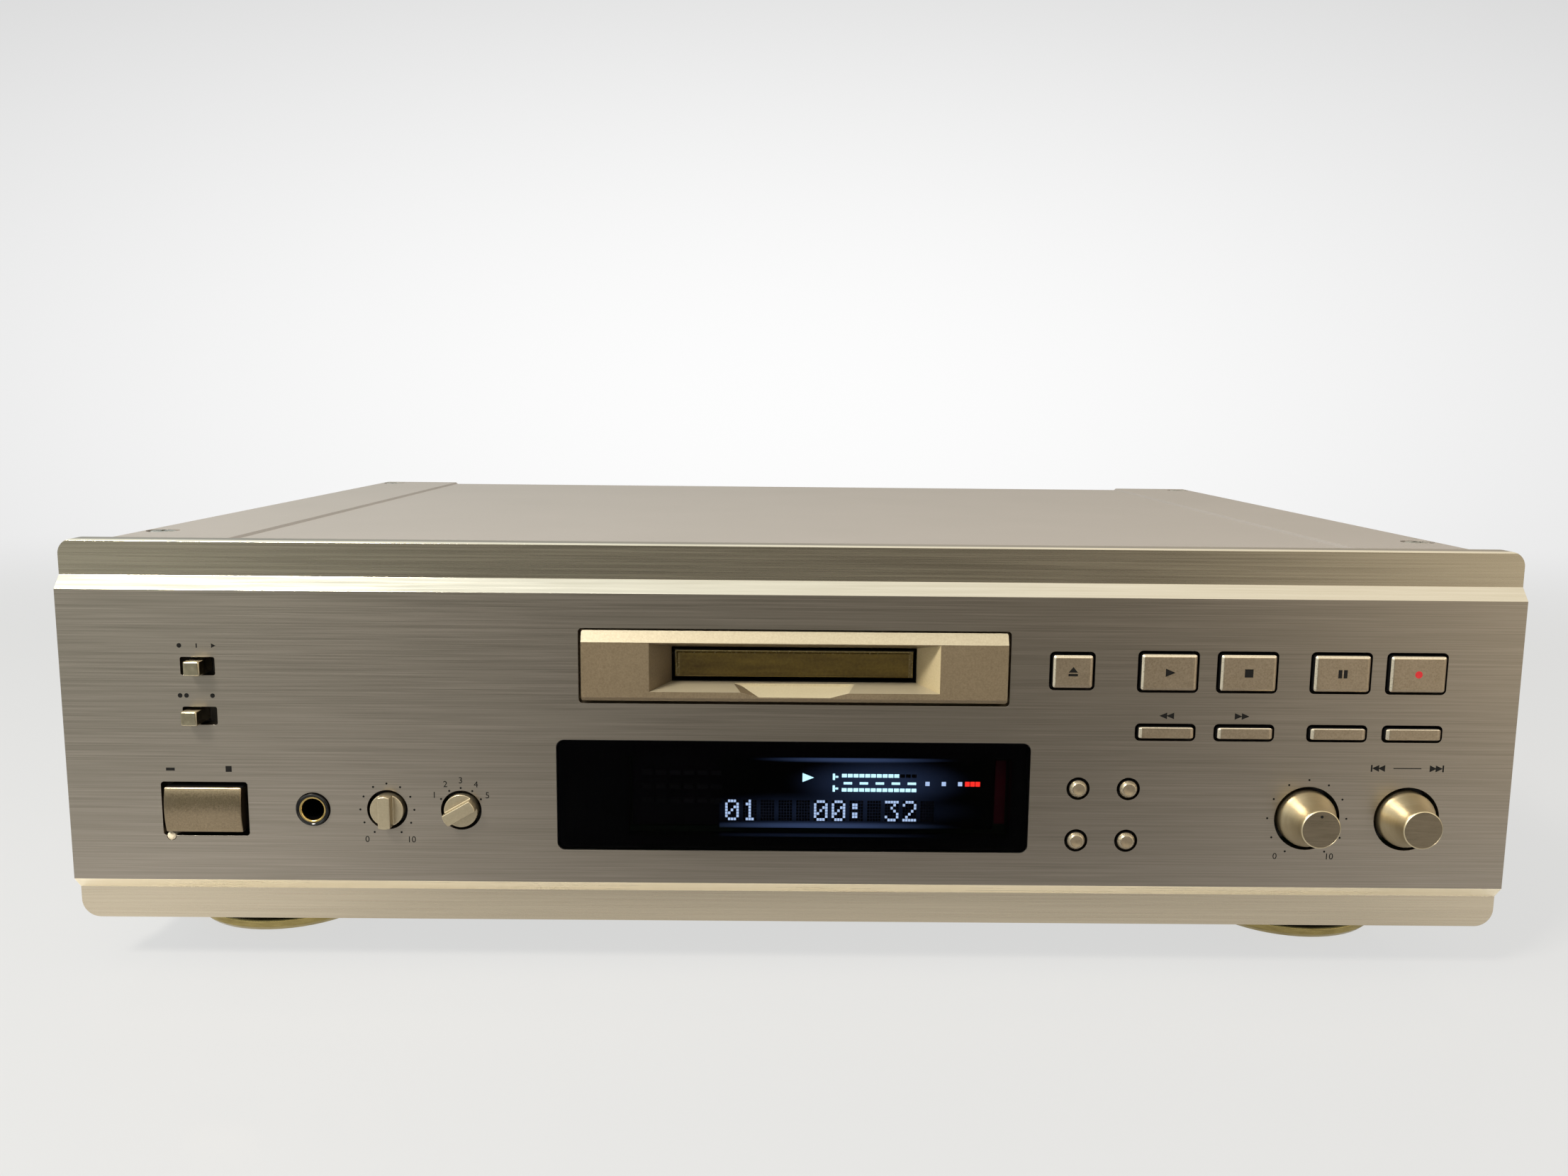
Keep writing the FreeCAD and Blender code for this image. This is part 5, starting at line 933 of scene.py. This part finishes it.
def makeFloor():
    shape = bmesh.new()
    cells = studio["floorCells"]
    bmesh.ops.create_grid(shape, x_segments=cells, y_segments=cells, size=studio["floorReach"])
    floor = addObject("floor", toMesh("floor", shape))
    material, tree, shader = newMaterial("satin_white_sweep", {
        "Base Color": toLinear(studio["floorHex"]), "Roughness": studio["floorGloss"],
        "Specular IOR Level": 0.16})
    path = addNode(tree, "LightPath")
    mirrored = path.outputs["Is Glossy Ray"]
    coords = addNode(tree, "TexCoord")
    distance = addNode(tree, "VectorMath", {"operation": "LENGTH"}, {0: coords.outputs["Object"]})
    start = addNode(tree, "Mix", {2: studio["fadeStart"], 3: studio["mirrorFadeStart"]}, {0: mirrored})
    end = addNode(tree, "Mix", {2: studio["fadeEnd"], 3: studio["mirrorFadeEnd"]}, {0: mirrored})
    fade = addNode(tree, "MapRange", smooth, {0: distance.outputs["Value"], 1: start, 2: end})
    seen = addNode(tree, "Math", {"operation": "MAXIMUM"}, {0: path.outputs["Is Camera Ray"], 1: mirrored})
    share = addNode(tree, "Math", {"operation": "MULTIPLY", 1: studio["floorOwnLight"]}, {0: seen})
    x, y, _ = addNode(tree, "SeparateXYZ", links={0: coords.outputs["Object"]}).outputs
    # painted light and shade on the floor for metal only: darker in the middle, bright near the deck and at
    # the sides
    shifted = addNode(tree, "Math", {"operation": "SUBTRACT", 1: studio["middleX"]}, {0: x})
    sideways = addNode(tree, "Math", {"operation": "ABSOLUTE"}, {0: shifted})
    side = addNode(tree, "MapRange", smooth | studio["mirrorSides"], {0: sideways})
    near = addNode(tree, "MapRange", smooth | studio["mirrorNear"], {0: y})
    far = addNode(tree, "MapRange", smooth | studio["mirrorFar"], {0: y})
    flank = addNode(tree, "Math", {"operation": "MULTIPLY"}, {0: side, 1: far})
    best = addNode(tree, "Math", {"operation": "MAXIMUM"}, {0: flank, 1: near})
    peak = addNode(tree, "MapRange", studio["mirrorPeak"], {0: x})
    level = addNode(tree, "MapRange", {3: studio["mirrorCentre"]}, {0: best, 4: peak})
    glow = addNode(tree, "Mix", {2: studio["floorLevel"]}, {0: mirrored, 3: level})
    own = addNode(tree, "Emission", {"Color": toLinear(studio["floorHex"])}, {"Strength": glow})
    lit = addNode(tree, "MixShader", links={0: share, 1: shader, 2: own})
    clear = addNode(tree, "BsdfTransparent")
    mixed = addNode(tree, "MixShader", links={0: fade, 1: lit, 2: clear})
    output = [n for n in tree.nodes if n.bl_idname == "ShaderNodeOutputMaterial"][0]
    tree.links.new(mixed.outputs[0], output.inputs["Surface"])
    floor.data.materials.append(material)


def makeWorld():
    world = bpy.data.worlds.new("studio")
    world.use_nodes = True
    tree = world.node_tree
    tree.nodes.clear()
    coords = addNode(tree, "TexCoord")
    x, y, z = addNode(tree, "SeparateXYZ", links={0: coords.outputs["Generated"]}).outputs
    sideways = addNode(tree, "Math", {"operation": "MULTIPLY"}, {0: x, 1: x})
    upwards = addNode(tree, "Math", {"operation": "MULTIPLY"}, {0: z, 1: z})
    first = addNode(tree, "Math", {"operation": "MULTIPLY_ADD", 1: studio["sweepSides"],
                                   2: studio["sweepMiddle"]}, {0: sideways})
    second = addNode(tree, "Math", {"operation": "MULTIPLY_ADD", 1: studio["sweepTop"]},
                     {0: upwards, 2: first})
    sweep = addNode(tree, "Math", {"operation": "MAXIMUM", 1: studio["sweepLeast"]}, {0: second})
    shifted = addNode(tree, "Math", {"operation": "SUBTRACT", 1: studio["darkestX"]}, {0: x})
    fromDarkest = addNode(tree, "Math", {"operation": "MULTIPLY"}, {0: shifted, 1: shifted})
    sides = addNode(tree, "MapRange", studio["sides"], {0: x})
    front = addNode(tree, "MapRange", smooth | studio["dimFront"], {0: fromDarkest, 4: sides})
    behind = addNode(tree, "MapRange", smooth | studio["behind"], {0: y})
    around = addNode(tree, "Mix", {3: studio["back"]}, {0: behind, 2: front})
    ceiling = addNode(tree, "MapRange", studio["ceiling"], {0: x})
    above = addNode(tree, "MapRange", smooth | studio["ceilingStart"], {0: z})
    plain = addNode(tree, "Mix", links={0: above, 2: around, 3: ceiling})
    rising = addNode(tree, "MapRange", smooth | studio["windowsLow"], {0: z})
    falling = addNode(tree, "MapRange", smooth | studio["windowsHigh"], {0: z})
    ahead = addNode(tree, "MapRange", smooth | studio["windowsAhead"], {0: y})
    band = addNode(tree, "Math", {"operation": "MULTIPLY"}, {0: rising, 1: falling})
    metal = addNode(tree, "Math", {"operation": "MULTIPLY_ADD"}, {0: band, 1: ahead, 2: plain})
    path = addNode(tree, "LightPath")
    mirrored = path.outputs["Is Glossy Ray"]
    ambient = addNode(tree, "Mix", {2: studio["ambient"]}, {0: mirrored, 3: metal})
    direct = addNode(tree, "Math", {"operation": "MAXIMUM"},
                     {0: path.outputs["Is Camera Ray"], 1: path.outputs["Is Transmission Ray"]})
    level = addNode(tree, "Mix", links={0: direct, 2: ambient, 3: sweep})
    across = addNode(tree, "MapRange", smooth | studio["tint"], {0: x})
    tint = addNode(tree, "Mix", {"data_type": "RGBA", 6: toLinear(studio["leftHex"]),
                                 7: toLinear(studio["rightHex"])}, {0: across})
    colour = addNode(tree, "Mix", {"data_type": "RGBA", 6: toLinear("#ffffff")},
                     {0: mirrored, 7: tint.outputs[2]})
    background = addNode(tree, "Background", links={"Color": colour.outputs[2], "Strength": level})
    addNode(tree, "OutputWorld", links={"Surface": background})
    scene.world = world


def addLamp(name, place, aim, size, power, hexText, inMetal):
    lamp = bpy.data.lights.new(name, "AREA")
    lamp.shape, lamp.size, lamp.size_y, lamp.energy = "RECTANGLE", size[0], size[1], power
    lamp.color = toLinear(hexText)[:3]
    holder = addObject(name, lamp)
    holder.location = place
    holder.rotation_euler = (Vector(aim) - Vector(place)).to_track_quat("-Z", "Y").to_euler()
    holder.visible_glossy = inMetal


makeFloor()
makeWorld()
# place, aim, size, watts, colour, and whether metal mirrors it
lamps = {
    "overhead_softbox": ((-0.25, -0.35, 1.1), (0, 0, 0.05), (1.3, 0.8), 3.5, "#fffdf8", False),
    "key_softbox": ((-0.65, -0.85, 1.05), (0, -0.1, 0.06), (0.3, 0.3), 24.0, "#fffaf0", True),
    "front_softbox": ((0.1, -1.0, 0.9), (0, -0.1, 0.06), (1.2, 0.5), 1.0, "#fffaf0", False),
    "left_softbox": ((-1.2, -0.6, 0.7), (0, 0, 0.05), (0.7, 0.9), 3.0, "#f7fff6", False),
    "right_softbox": ((1.2, -0.6, 0.6), (0, 0, 0.05), (0.7, 0.9), 2.0, "#fff3e0", False),
}
for name, values in lamps.items():
    addLamp(name, *values)
